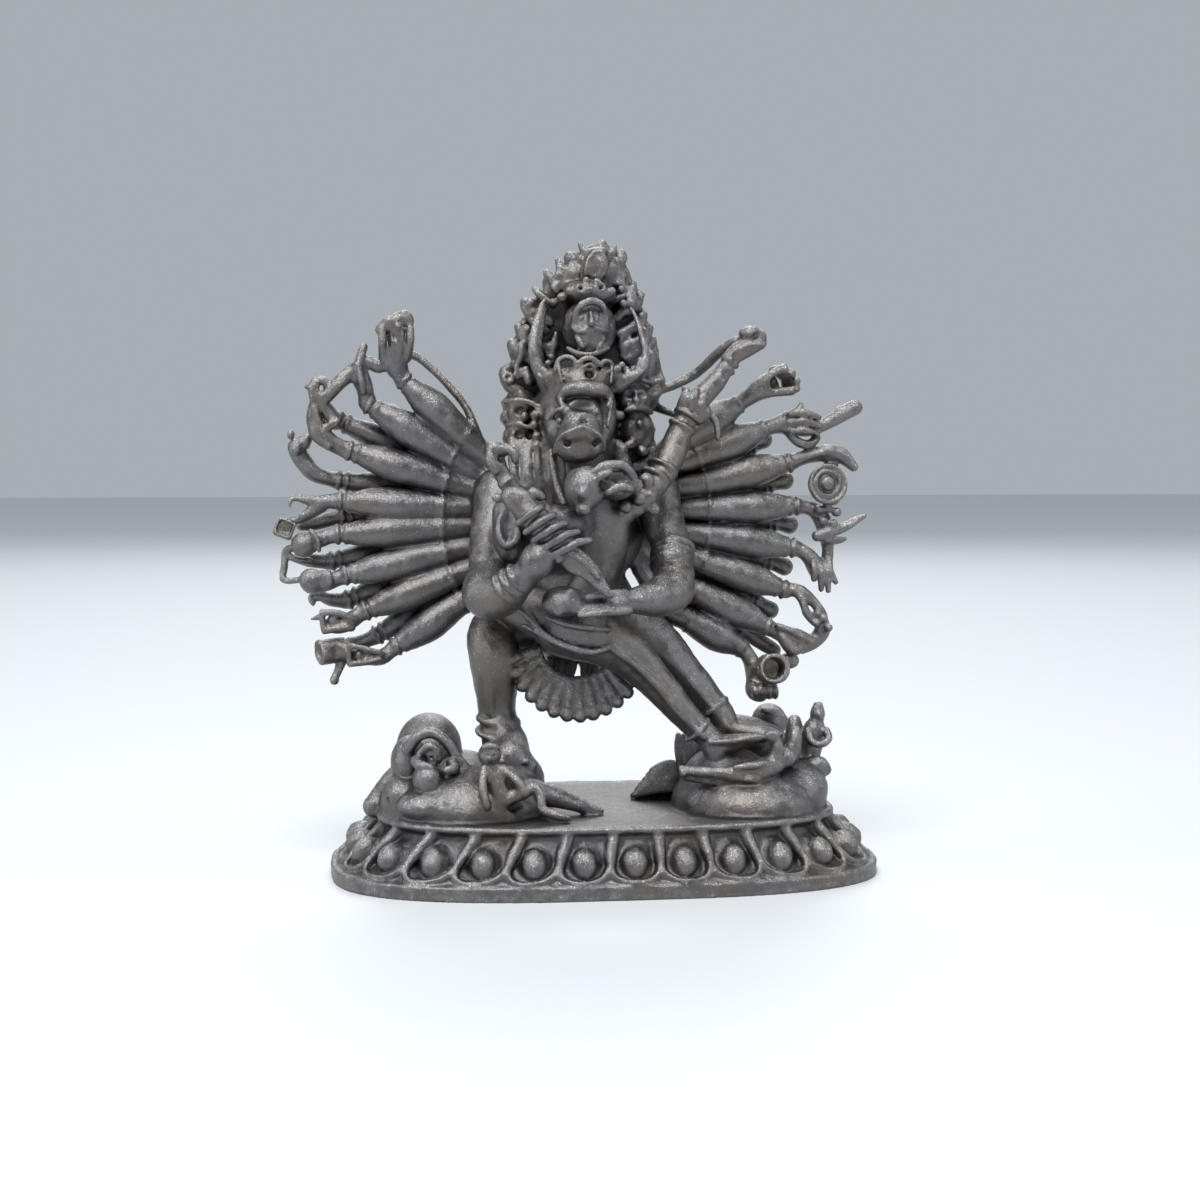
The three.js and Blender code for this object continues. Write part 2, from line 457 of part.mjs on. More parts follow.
/** Buffalo head with horns, the heads at its sides, and the two heads above it. */
function stackedHeads() {
  const parts = [
    lump([-2.3, -1.6, 37.2], [3.1, 3.2, 3.2], [0, 0, 0], 10, 6),
    limb([[-2.1, -2.6, 38.0, 2.4], [-2.15, -5.0, 36.5, 2.15], [-2.3, -7.0, 34.7, 1.8], [-2.35, -7.9, 34.0, 1.3]], 8, 0.85),
    limb([[-2.4, -3.2, 33.9, 1.7], [-2.4, -6.6, 32.6, 1.1]], 6),
    limb([[-4.4, -4.9, 37.2, 0.55], [-2.1, -6.1, 37.6, 0.6], [0.3, -4.9, 37.2, 0.55]], 5),
    limb([[-4.5, -6.9, 33.9, 0.4], [-3.5, -7.9, 34.9, 0.42], [-2.4, -8.3, 35.2, 0.42], [-1.4, -7.9, 34.9, 0.42],
      [-0.6, -6.9, 33.8, 0.4]], 5),
    bead([-3.9, -5.8, 35.9], 0.5),
    bead([-0.8, -5.8, 35.9], 0.5),
    limb([[-4.4, -1.8, 38.2, 0.8], [-5.8, -2.2, 40.2, 0.62], [-6.1, -2.0, 42.2, 0.5], [-5.6, -1.6, 44.3, 0.4],
      [-4.7, -1.2, 45.6, 0.25]], 6),
    limb([[0.9, -1.8, 38.4, 0.8], [2.9, -2.2, 40.2, 0.62], [3.2, -2.0, 41.9, 0.5], [2.7, -1.6, 43.6, 0.4],
      [1.8, -1.2, 44.8, 0.25]], 6),
    lump([-5.9, -1.4, 36.6], [1.5, 1.5, 1.8], [0, 0, 0], 6, 4),
    lump([-6.6, -0.6, 34.3], [1.4, 1.4, 1.5], [0, 0, 0], 6, 4),
    lump([1.9, -1.4, 36.6], [1.5, 1.5, 1.8], [0, 0, 0], 6, 4),
    lump([2.8, -0.6, 34.4], [1.4, 1.4, 1.5], [0, 0, 0], 6, 4),
    lump([-1.6, -1.8, 42.4], [1.6, 1.9, 2.2], [0, 6, 0], 8, 6),
    lump([-1.5, -3.4, 42.4], [0.45, 0.5, 0.8], [0, 6, 0], 5, 4),
    limb([[-3.0, -2.6, 43.4, 0.4], [-1.4, -3.7, 44.2, 0.4], [0.1, -2.6, 43.6, 0.4]], 5),
    lump([-1.2, -1.0, 45.4], [2.4, 1.8, 1.2], [0, 6, 0], 8, 4),
    bead([-2.2, -2.4, 45.9], 0.6),
    bead([-0.5, -2.5, 46.0], 0.6),
    lump([-0.5, -0.9, 47.1], [1.2, 1.3, 1.4], [0, 6, 0], 8, 5),
    limb([[-0.6, 0.6, 46.2, 2.2], [-0.2, 0.5, 48.4, 1.4], [0.0, 0.4, 49.2, 0.7]], 6, 0.7),
    bead([0.0, 0.2, 49.5], 0.5),
    bead([1.4, 0.6, 48.7], 0.5),
    bead([-2.5, 0.6, 48.4], 0.5),
  ];
  parts.push(limb([[-5.4, -1.4, 38.9, 0.8], [-3.6, -3.2, 39.2, 0.8], [-1.0, -3.2, 39.2, 0.8], [0.8, -1.4, 38.9, 0.8]], 6));
  for (let skull = 0; skull < 5; skull += 1) {
    const x = -5.1 + skull * 1.6;
    const forward = -3.9 + 0.42 * (skull - 2) ** 2;
    parts.push(bead([x, forward, 39.7 - 0.1 * (skull - 2) ** 2], 0.8));
  }
  return parts;
}

/** Mound at the left of the base with its crouching animal, seated figure and kneeling figure. */
function leftGroup() {
  return [
    lump([-11.2, -2.4, 5.6], [6.6, 6.4, 4.0], [0, 0, 0], 10, 6),
    lump([-8.2, -2.6, 7.6], [3.2, 3.6, 2.6], [0, 0, 0], 8, 5),
    lump([-13.8, 0.6, 9.6], [2.6, 3.0, 3.0], [0, 0, 0], 8, 5),
    limb([[-15.6, -4.2, 11.0, 0.8], [-14.4, -4.8, 11.9, 0.75], [-12.7, -5.0, 11.0, 0.7], [-11.4, -5.0, 9.2, 0.6]], 6),
    lump([-15.5, -3.2, 8.9], [1.5, 2.0, 2.4], [0, 0, 0], 6, 4),
    bead([-13.8, -5.8, 10.5], 0.8),
    lump([-14.0, -6.2, 8.4], [1.3, 1.4, 1.3], [0, 0, 0], 8, 5),
    bead([-14.8, -6.0, 9.4], 0.6),
    bead([-12.9, -6.0, 9.4], 0.6),
    lump([-13.0, -6.2, 6.2], [3.4, 2.4, 1.5], [0, 0, 0], 8, 4),
    lump([-9.7, -7.4, 10.3], [0.95, 0.95, 0.95], [0, 0, 0], 7, 5),
    limb([[-9.5, -7.0, 9.8, 0.9], [-9.2, -7.2, 8.2, 1.0], [-8.6, -7.4, 6.6, 1.2]], 7),
    limb([[-10.0, -7.7, 9.4, 0.45], [-10.3, -8.2, 7.9, 0.42], [-10.0, -8.4, 6.8, 0.4]], 5),
    limb([[-8.8, -7.4, 9.4, 0.45], [-7.8, -7.9, 8.6, 0.45], [-7.2, -8.2, 7.5, 0.4]], 5),
    limb([[-8.4, -7.6, 6.6, 0.9], [-6.6, -7.9, 7.7, 0.65], [-6.1, -8.2, 6.4, 0.5], [-4.7, -8.4, 5.8, 0.45]], 6),
    bead([-6.4, -4.6, 9.0], 0.7),
    limb([[-7.5, -5.2, 7.2, 1.5], [-4.6, -5.2, 6.6, 1.0], [-1.2, -5.4, 5.2, 0.4]], 6),
  ];
}

/** Mound at the right of the base with its lying and kneeling figures, animal and feathers. */
function rightGroup() {
  const parts = [
    lump([11.2, -2.6, 5.4], [6.0, 6.4, 3.6], [0, 0, 0], 10, 6),
    lump([9.4, -2.8, 7.4], [3.4, 3.8, 2.6], [0, 0, 0], 8, 5),
    limb([[9.4, 0.8, 11.3, 1.0], [11.6, 1.0, 11.0, 1.1], [13.8, 1.4, 10.3, 1.0]], 6, 1.6),
    lump([12.6, 1.6, 8.2], [3.6, 3.6, 3.0], [0, 0, 0], 8, 5),
    lump([14.2, 3.4, 11.0], [1.5, 1.5, 1.6], [0, 0, 0], 8, 5),
    limb([[5.6, -6.2, 8.6, 0.5], [8.0, -6.6, 8.5, 0.65], [9.6, -6.8, 8.2, 0.95], [11.2, -6.6, 8.5, 1.0],
      [12.6, -6.2, 9.0, 0.9]], 7),
    limb([[12.3, -6.2, 8.8, 0.8], [12.6, -6.6, 10.4, 0.55], [12.2, -6.8, 11.3, 0.65]], 6),
    bead([13.5, -5.9, 9.4], 0.9),
    limb([[15.3, -1.6, 9.0, 1.0], [15.3, -1.4, 11.4, 0.75]], 6),
    lump([16.9, -2.0, 12.2], [0.7, 0.7, 0.95], [0, 0, 0], 6, 4),
    limb([[16.8, -2.0, 11.3, 0.9], [16.6, -2.0, 10.2, 1.15], [16.4, -2.0, 8.4, 1.15], [16.2, -2.0, 6.6, 0.9]], 7),
    bead([15.7, -2.6, 11.0], 0.5),
    bead([17.5, -2.5, 10.8], 0.5),
    lump([15.2, -3.2, 6.6], [2.2, 3.2, 2.2], [0, 0, 0], 7, 4),
  ];
  for (let feather = 0; feather < 4; feather += 1) {
    const lean = feather * 0.5;
    parts.push(limb([[6.3 + lean, 0.9 - lean, 10.3, 0.45], [6.6 + lean, 0.4 - lean, 7.0, 0.6]], 5));
    parts.push(limb([[7.6, 1.2, 5.9 + lean, 0.8], [5.0, 1.4, 6.1 + lean, 0.75], [2.8 + 1.6 * lean, 1.6, 5.6 + lean, 0.45]], 5));
  }
  return parts;
}

/** Joins every lump of the casting into one solid. */
function casting() {
  const parts = [
    ...lotusBase(),
    ...leftGroup(),
    ...rightGroup(),
    ...legs(),
    ...garland(),
    ...trunk(),
    ...fans(),
    ...leftAttributes(),
    ...rightAttributes(),
    ...scarves(),
    ...consort(),
    ...mainArms(),
    ...flameHair(),
    ...stackedHeads(),
  ];
  return parts.reduce((whole, part) => whole.add(part));
}

/** Adds a triangle's plane, weighted by its area, to the error sums of its corners. */
function addPlane(sums, points, corners) {
  const [a, b, c] = corners.map((corner) => points[corner]);
  const cross = new THREE.Vector3().crossVectors(b.clone().sub(a), c.clone().sub(a));
  const area = cross.length() / 2;
  if (area === 0) return;
  const { x, y, z } = cross.normalize();
  const d = -cross.dot(a);
  const products = [x * x, x * y, x * z, x * d, y * y, y * z, y * d, z * z, z * d, d * d];
  for (const corner of corners) {
    products.forEach((product, index) => { sums[corner][index] += product * area; });
  }
}

/** How far a point would leave the planes that meet at two merged vertices. */
function foldError(first, second, { x, y, z }) {
  const [xx, xy, xz, xd, yy, yz, yd, zz, zd, dd] = first.map((value, index) => value + second[index]);
  return xx * x * x + yy * y * y + zz * z * z + dd
    + 2 * (xy * x * y + xz * x * z + yz * y * z + xd * x + yd * y + zd * z);
}

/** Best place for the vertex that two neighbours fold into, with its error. */
function foldPlace(points, sums, first, second) {
  const a = points[first];
  const b = points[second];
  const onFloor = (point) => point.z < 1e-5;
  let places = [a, b, a.clone().lerp(b, 0.5)];
  if (onFloor(a) !== onFloor(b)) places = [onFloor(a) ? a : b];
  const ranked = places.map((place) => ({
    place: place.clone(),
    error: foldError(sums[first], sums[second], place) + 1e-4 * a.distanceToSquared(b),
  }));
  return ranked.reduce((best, option) => (option.error < best.error ? option : best));
}

/** Tells whether an edge can fold without pinching the surface or turning a triangle over. */
function canFold(points, faces, around, first, second, place) {
  const neighbours = (vertex) => new Set([...around[vertex]].flatMap((face) => faces[face]));
  const shared = [...neighbours(first)].filter((vertex) => neighbours(second).has(vertex));
  if (shared.length !== 4) return false;
  const normalOf = (corners) => new THREE.Vector3().crossVectors(
    corners[1].clone().sub(corners[0]),
    corners[2].clone().sub(corners[0]),
  );
  for (const face of new Set([...around[first], ...around[second]])) {
    const corners = faces[face];
    if (corners.includes(first) && corners.includes(second)) continue;
    const before = normalOf(corners.map((corner) => points[corner]));
    const after = normalOf(corners.map((corner) => (corner === first || corner === second ? place : points[corner])));
    if (before.dot(after) < 0.3 * before.length() * after.length()) return false;
    if (after.length() < 1e-4) return false;
  }
  return true;
}

/** Thins a closed surface down to a number of triangles, folding away the least needed edges first. */
function thinOut(points, allFaces, budget) {
  let faces = allFaces;
  const sums = points.map(() => new Array(10).fill(0));
  faces.forEach((corners) => addPlane(sums, points, corners));
  while (faces.length > budget) {
    const around = points.map(() => new Set());
    faces.forEach((corners, face) => corners.forEach((corner) => around[corner].add(face)));
    const folds = [];
    for (const [a, b, c] of faces) {
      for (const [first, second] of [[a, b], [b, c], [c, a]]) {
        if (first < second) folds.push({ first, second, ...foldPlace(points, sums, first, second) });
      }
    }
    folds.sort((one, other) => one.error - other.error);
    const busy = new Set();
    let remaining = faces.length;
    for (const { first, second, place } of folds.slice(0, Math.ceil(folds.length / 8))) {
      if (remaining <= budget) break;
      if (busy.has(first) || busy.has(second)) continue;
      if (!canFold(points, faces, around, first, second, place)) continue;
      for (const face of [...around[first], ...around[second]]) faces[face].forEach((corner) => busy.add(corner));
      points[first] = place;
      sums[first] = sums[first].map((value, index) => value + sums[second][index]);
      for (const face of around[second]) faces[face] = faces[face].map((corner) => (corner === second ? first : corner));
      remaining -= 2;
    }
    const kept = faces.filter(([a, b, c]) => a !== b && b !== c && c !== a);
    if (kept.length === faces.length) break;
    faces = kept;
  }
  return faces;
}

/** Geometry of the joined solid, thinned to the triangle budget. */
function geometryOf(solid, budget) {
  const { vertProperties, triVerts } = solid.getMesh();
  const points = [];
  for (let at = 0; at < vertProperties.length; at += 3) points.push(new THREE.Vector3().fromArray(vertProperties, at));
  const faces = [];
  for (let at = 0; at < triVerts.length; at += 3) faces.push([...triVerts.subarray(at, at + 3)]);
  const kept = thinOut(points, faces, budget);
  const corners = kept.flat().flatMap((corner) => points[corner].toArray());
  const geometry = new THREE.BufferGeometry();
  geometry.setAttribute('position', new THREE.Float32BufferAttribute(corners, 3));
  const joined = mergeVertices(geometry, 1e-5);
  joined.computeVertexNormals();
  return joined;
}

const statue = new THREE.Mesh(geometryOf(casting(), TRIANGLE_BUDGET), METAL);
statue.name = 'yamantaka_statue';

const group = new THREE.Group();
group.add(statue);

export default group;
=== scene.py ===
import math

import bpy
import numpy as np
from mathutils import Euler, Matrix, Vector


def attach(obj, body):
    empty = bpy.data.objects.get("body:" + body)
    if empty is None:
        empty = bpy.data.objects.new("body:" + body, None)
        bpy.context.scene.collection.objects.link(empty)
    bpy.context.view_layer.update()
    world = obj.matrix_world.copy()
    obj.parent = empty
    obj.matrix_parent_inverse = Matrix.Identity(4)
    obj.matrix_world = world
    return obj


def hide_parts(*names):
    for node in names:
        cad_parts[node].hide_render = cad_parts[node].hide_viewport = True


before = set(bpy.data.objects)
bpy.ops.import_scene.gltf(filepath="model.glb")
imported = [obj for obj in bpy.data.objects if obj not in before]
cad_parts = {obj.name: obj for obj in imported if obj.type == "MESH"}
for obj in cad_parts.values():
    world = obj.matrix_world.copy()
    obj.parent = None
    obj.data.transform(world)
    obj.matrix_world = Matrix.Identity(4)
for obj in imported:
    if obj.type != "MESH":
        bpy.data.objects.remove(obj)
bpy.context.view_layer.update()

# The statue is modelled like wax before casting: every form is pressed into one body of clay, a signed
# distance on a grid, so that it flows into its neighbours. Lengths in this script are in millimetres,
# and +Z is up, the front looks toward -Y, as in the solid.
MM = 0.001

# clay
GRID_STEP = 0.15
GRID_LOW = (-26.4, -14.0, -0.45)
GRID_HIGH = (22.8, 14.0, 50.9)
OUTSIDE = 1.0
BLEND = 0.28
TRIANGLE_LIMIT = 190000

# lotus base
BASE_HEIGHT = 5.2
BASE_HALF_LENGTH = 21.6
BASE_HALF_DEPTH = 13.1
TOP_HALF_LENGTH = 17.8
TOP_HALF_DEPTH = 11.3
BASE_ROUNDNESS = 2.9
PETAL_COUNT = 28
PETAL_PHASE = 0.19
BASE_PROFILE = ((0.0, 0.0), (0.95, 0.02), (1.3, 0.22), (2.4, 0.72), (4.4, 1.12), (4.75, 0.99), (5.6, 1.0))

# body
BODY_X = -2.4
CHEST_HEIGHT = 27.0
WAIST_HEIGHT = 21.6
HIP_HEIGHT = 19.4

# fans of arms: each row is root height, wrist x, wrist height, then the hand as steps from the wrist
FRONT_ROW_Y = 1.0
REAR_ROW_Y = 2.7
LEFT_FAN = {"hub_x": -5.6, "hub_height": 27.4, "root_x": -8.4}
RIGHT_FAN = {"hub_x": 1.0, "hub_height": 27.6, "root_x": 4.8}
ARM_SWELL = 1.36
REAR_SWELL = 1.15
WRIST_RADIUS = 0.64
LEFT_FRONT_ARMS = (
    (32.0, -15.7, 38.8, ((-0.4, 1.4, 0.85),)),
    (30.6, -18.5, 36.9, ((-0.2, 1.3, 0.75), (-0.7, 2.5, 0.85))),
    (29.6, -20.1, 33.3, ((-1.1, 0.5, 0.75), (-2.1, 1.4, 0.85), (-2.3, 2.4, 0.5))),
    (28.6, -20.9, 29.3, ((-1.2, -0.1, 0.6), (-1.9, -0.7, 0.5), (-2.7, -1.2, 0.35))),
    (27.4, -21.1, 26.7, ((-1.2, -0.4, 0.75), (-2.2, -0.7, 1.0))),
    (26.2, -20.5, 23.4, ((-1.2, -0.4, 0.75), (-2.3, -0.4, 1.05))),
    (24.8, -18.9, 20.6, ((-1.1, -0.7, 0.75), (-2.0, -1.0, 0.75), (-2.9, -1.0, 0.5))),
    (23.2, -16.5, 17.7, ((-1.1, -0.7, 0.7), (-2.6, -0.6, 0.7), (-3.4, -0.5, 0.55))),
)
LEFT_REAR_ARMS = (
    (31.2, -15.9, 35.6, ((-0.6, 0.6, 0.8),)),
    (30.2, -20.9, 35.7, ((-1.0, 1.2, 0.6), (-1.3, 2.0, 0.5))),
    (29.4, -20.9, 30.9, ((-1.8, 0.6, 0.75), (-2.8, 1.9, 0.75), (-3.2, 2.7, 0.6))),
    (28.2, -20.6, 28.0, ((-1.8, -0.4, 0.65), (-3.0, -0.6, 0.55))),
    (26.8, -21.5, 24.5, ((-1.3, 0.1, 0.6), (-2.4, 0.3, 0.45))),
    (25.6, -20.2, 21.4, ((-1.2, 0.1, 0.6), (-1.9, 0.4, 0.45))),
    (24.2, -17.9, 18.5, ((-1.2, -0.5, 0.65), (-2.0, -0.5, 0.55))),
)
RIGHT_FRONT_ARMS = (
    (33.0, 11.1, 37.0, ((1.2, 0.8, 0.85), (2.2, 1.4, 1.1))),
    (31.6, 13.3, 35.0, ((1.0, 0.3, 0.8), (2.1, 0.4, 1.1), (3.2, 0.1, 0.85))),
    (29.9, 15.4, 32.3, ((1.2, 0.5, 0.7), (2.6, 0.7, 0.75), (3.4, 0.5, 0.6))),
    (28.5, 16.1, 28.8, ((1.1, -0.3, 0.65), (1.9, -1.3, 0.8), (2.2, -2.6, 0.7))),
    (27.0, 15.8, 25.4, ((1.0, -0.6, 0.7), (1.8, -1.8, 0.85))),
    (25.6, 15.0, 22.0, ((0.8, 0.0, 0.6), (1.6, -0.7, 0.6))),
    (23.4, 13.6, 19.0, ((1.1, -0.5, 0.75), (2.3, -0.9, 0.85), (3.5, -1.1, 0.5))),
    (20.9, 11.5, 17.3, ((0.6, -0.9, 0.7), (1.0, -2.2, 0.85), (1.0, -3.3, 0.85))),
)
RIGHT_REAR_ARMS = (
    (32.2, 9.9, 35.6, ((0.6, 0.7, 0.8),)),
    (30.8, 12.6, 33.7, ((0.8, 0.4, 0.8),)),
    (29.2, 14.2, 30.6, ((1.0, 0.2, 0.8),)),
    (27.8, 14.6, 27.4, ((1.0, -0.2, 0.8),)),
    (26.4, 14.2, 24.2, ((1.0, -0.4, 0.8),)),
    (24.8, 13.0, 20.9, ((1.0, -0.6, 0.8),)),
    (22.4, 11.8, 18.7, ((1.2, -0.8, 0.7), (2.6, -1.7, 0.6))),
)

# flame-edged hair behind the stacked heads: outline as (x, height) from the foot up, and the tips of its locks
HAIR_FRONT = 0.2
HAIR_BACK = 2.3
HAIR_LEFT = (
    (-6.6, 32.0), (-7.0, 33.2), (-7.85, 34.2), (-7.5, 34.9), (-8.0, 35.6), (-7.95, 36.1), (-7.6, 36.4), (-7.85, 37.0),
    (-7.2, 37.8), (-7.9, 38.5), (-8.15, 39.2), (-7.9, 39.75), (-7.0, 40.2), (-7.3, 41.0), (-7.35, 41.8), (-6.7, 42.2),
    (-6.85, 43.0), (-5.95, 43.8), (-6.35, 45.0), (-5.3, 45.2), (-4.6, 45.7), (-4.55, 46.4), (-4.55, 47.25),
    (-3.7, 46.9), (-2.9, 47.2), (-2.8, 48.6), (-2.1, 48.75), (-1.1, 49.0), (-0.55, 49.3),
)
HAIR_RIGHT = (
    (3.0, 31.6), (3.3, 32.9), (4.0, 33.3), (4.0, 34.4), (4.2, 35.0), (3.7, 36.2), (4.3, 36.6), (4.5, 37.2), (4.95, 38.1),
    (5.0, 39.0), (4.7, 40.0), (4.5, 41.0), (4.35, 41.9), (3.85, 42.3), (4.0, 43.0), (3.55, 43.5), (3.5, 44.1),
    (3.1, 44.7), (3.4, 45.5), (2.9, 45.9), (2.4, 46.1), (2.2, 47.2), (1.8, 47.9), (1.85, 48.5), (1.3, 48.9), (0.3, 49.3),
)
LOCK_TIPS = (
    (-7.8, 34.2), (-7.95, 35.8), (-7.8, 37.0), (-8.0, 39.2), (-7.3, 41.7), (-6.8, 43.0), (-6.3, 45.0), (-4.5, 47.2),
    (-2.7, 48.5), (4.0, 33.4), (4.1, 35.0), (4.8, 38.3), (4.9, 39.0), (4.4, 41.2), (4.2, 42.0), (3.9, 43.0),
    (3.4, 44.1), (3.3, 45.5), (1.8, 48.4),
)

# rough places of the casting: middle, reach in x, y and z, and how rough
ROUGH_PLACES = (
    ((-1.8, 1.0, 40.5), (6.6, 3.4, 9.4), 1.0),
    ((-5.6, -2.4, 31.0), (2.6, 2.2, 3.6), 0.8),
    ((-11.5, -2.4, 6.5), (7.4, 6.6, 2.6), 0.8),
    ((11.8, -2.4, 6.0), (7.0, 6.6, 2.4), 0.8),
    ((0.0, 0.0, 3.2), (21.0, 13.2, 1.7), 0.7),
)

# garland of heads hanging below the hips
GARLAND_CENTRE = (-2.4, 18.6)
GARLAND_INNER = (3.3, 3.3)
GARLAND_OUTER = (5.4, 6.0)
GARLAND_HEADS = 14
GARLAND_ARC = (-166, -22)

# camera that took the photograph
CAMERA_PLACE = (-23.81, -172.29, 33.93)
CAMERA_AZIMUTH = -7.785
CAMERA_PITCH = 4.111
CAMERA_LENS = 66.0


def read_table(table, position):
    """Straight-line reading of a table of (position, value) rows."""
    places = [row[0] for row in table]
    values = [row[1] for row in table]
    return np.interp(position, places, values)


def smooth_path(stations, steps):
    """Curve through the stations, with a few points between each two of them."""
    points = [np.array(station, dtype=float) for station in stations]
    if len(points) < 3:
        return points
    curve = []
    for index in range(len(points) - 1):
        before = points[max(index - 1, 0)]
        start = points[index]
        end = points[index + 1]
        after = points[min(index + 2, len(points) - 1)]
        for step in range(steps):
            t = step / steps
            slope_in = (end - before) * 0.5
            slope_out = (after - start) * 0.5
            place = (2 * t**3 - 3 * t**2 + 1) * start + (t**3 - 2 * t**2 + t) * slope_in
            place = place + (3 * t**2 - 2 * t**3) * end + (t**3 - t**2) * slope_out
            curve.append(place)
    curve.append(points[-1])
    for place in curve:
        place[3] = max(place[3], 0.06)
    return curve


def frame_of(axis):
    """Two directions square to an axis, and the axis itself, each of length 1."""
    along = Vector(axis).normalized()
    reference = Vector((0, 0, 1)) if abs(along.z) < 0.9 else Vector((0, 1, 0))
    across = along.cross(reference).normalized()
    return np.array([across, along.cross(across), along])


class Clay:
    """One body of clay: the distance to its surface, in millimetres, at each point of a grid."""

    def __init__(self):
        self.low = np.array(GRID_LOW)
        size = np.ceil((np.array(GRID_HIGH) - self.low) / GRID_STEP).astype(int) + 1
        self.field = np.full(tuple(size), OUTSIDE, dtype=np.float32)

    def window(self, low, high, margin):
        """The part of the grid round a box, and the coordinates of its points."""
        first = np.floor((np.array(low) - margin - self.low) / GRID_STEP).astype(int)
        last = np.ceil((np.array(high) + margin - self.low) / GRID_STEP).astype(int) + 1
        first = np.maximum(first, 0)
        last = np.minimum(last, self.field.shape)
        part = tuple(slice(a, max(b, a)) for a, b in zip(first, last))
        axes = [self.low[i] + GRID_STEP * np.arange(s.start, s.stop, dtype=np.float32) for i, s in enumerate(part)]
        x, y, z = (axis.astype(np.float32) for axis in axes)
        return part, x[:, None, None], y[None, :, None], z[None, None, :]

    def merge(self, part, distance, blend):
        """Adds a form, flowing into what is there over the blend width."""
        old = self.field[part]
        overlap = np.maximum(blend - np.abs(old - distance), 0)
        self.field[part] = np.minimum(old, distance) - overlap * overlap * (0.25 / blend)

    def remove(self, part, distance, blend):
        """Cuts a form away, with an edge rounded over the blend width."""
        old = self.field[part]
        overlap = np.maximum(blend - np.abs(old + distance), 0)
        self.field[part] = np.maximum(old, -distance) + overlap * overlap * (0.25 / blend)

    def rod(self, stations, blend=BLEND, flat=None, steps=4, cut=False):
        """Round limb through [x, y, z, radius] stations; flat is a direction and the share of thickness there."""
        path = smooth_path(stations, steps)
        points = np.array(path)
        reach = points[:, 3].max() + blend + 0.1
        part, x, y, z = self.window(points[:, :3].min(axis=0), points[:, :3].max(axis=0), reach)
        distance = np.full(self.field[part].shape, OUTSIDE, dtype=np.float32)
        corner = [s.start for s in part]
        for start, end in zip(path[:-1], path[1:]):
            inner, px, py, pz = self.window(np.minimum(start, end)[:3], np.maximum(start, end)[:3], reach)
            local = tuple(slice(s.start - c, s.stop - c) for s, c in zip(inner, corner))
            step = (end - start)[:3]
            length = max(float(step @ step), 1e-9)
            ax, ay, az = px - start[0], py - start[1], pz - start[2]
            share = np.clip((ax * step[0] + ay * step[1] + az * step[2]) / length, 0, 1).astype(np.float32)
            ax, ay, az = ax - share * step[0], ay - share * step[1], az - share * step[2]
            radius = start[3] + share * (end[3] - start[3])
            gap = np.sqrt(ax * ax + ay * ay + az * az)
            if flat:
                (fx, fy, fz), thin = flat
                depth = ax * fx + ay * fy + az * fz
                side = np.maximum(gap * gap - depth * depth, 0)
                ratio = np.sqrt(side + (depth / thin) ** 2) / radius
                slope = np.sqrt(side + (depth / thin**2) ** 2) / radius**2
                gap = ratio * (ratio - 1) / np.maximum(slope, 1e-4) + radius
            distance[local] = np.minimum(distance[local], gap - radius)
        (self.remove if cut else self.merge)(part, distance, blend)

    def ball(self, centre, radii, turn=(0, 0, 0), blend=BLEND, cut=False):
        """Rounded lump with its own three radii, turned in degrees about x, y and z."""
        if isinstance(radii, (int, float)):
            radii = (radii, radii, radii)
        reach = max(radii) + blend + 0.1
        part, x, y, z = self.window(centre, centre, reach)
        x, y, z = x - centre[0], y - centre[1], z - centre[2]
        spin = np.array(Euler([math.radians(a) for a in turn]).to_matrix())
        ratio = np.zeros(self.field[part].shape, dtype=np.float32)
        slope = np.zeros(self.field[part].shape, dtype=np.float32)
        for axis, radius in enumerate(radii):
            along = (x * spin[0, axis] + y * spin[1, axis] + z * spin[2, axis]) / radius
            ratio += along * along
            slope += (along / radius) ** 2
        ratio = np.sqrt(ratio)
        distance = ratio * (ratio - 1) / np.maximum(np.sqrt(slope), 1e-4)
        (self.remove if cut else self.merge)(part, distance, blend)

    def line(self, points, radius, blend=0.08):
        """Rounded ridge of even thickness along a curve."""
        self.rod([(*point, radius) for point in points], blend)

    def ring(self, centre, axis, radius, thick, blend=0.12, oval=1.0):
        """Closed ring round an axis; oval stretches it along the second direction square to the axis."""
        part, x, y, z = self.window(centre, centre, (radius + thick) * max(oval, 1) + blend + 0.1)
        directions = frame_of(axis)
        x, y, z = x - centre[0], y - centre[1], z - centre[2]
        across, beside, along = (x * d[0] + y * d[1] + z * d[2] for d in directions)
        gap = np.sqrt(across * across + (beside / oval) ** 2) - radius
        self.merge(part, np.sqrt(gap * gap + along * along) - thick, blend)

    def drum(self, centre, axis, radius, half, rounding=0.15, blend=0.15, cut=False):
        """Closed cylinder with rounded edges."""
        part, x, y, z = self.window(centre, centre, math.hypot(radius, half) + blend + 0.1)
        directions = frame_of(axis)
        x, y, z = x - centre[0], y - centre[1], z - centre[2]
        across, beside, along = (x * d[0] + y * d[1] + z * d[2] for d in directions)
        side = np.sqrt(across * across + beside * beside) - radius + rounding
        end = np.abs(along) - half + rounding
        inside = np.minimum(np.maximum(side, end), 0)
        outside = np.sqrt(np.maximum(side, 0) ** 2 + np.maximum(end, 0) ** 2)
        (self.remove if cut else self.merge)(part, inside + outside - rounding, blend)

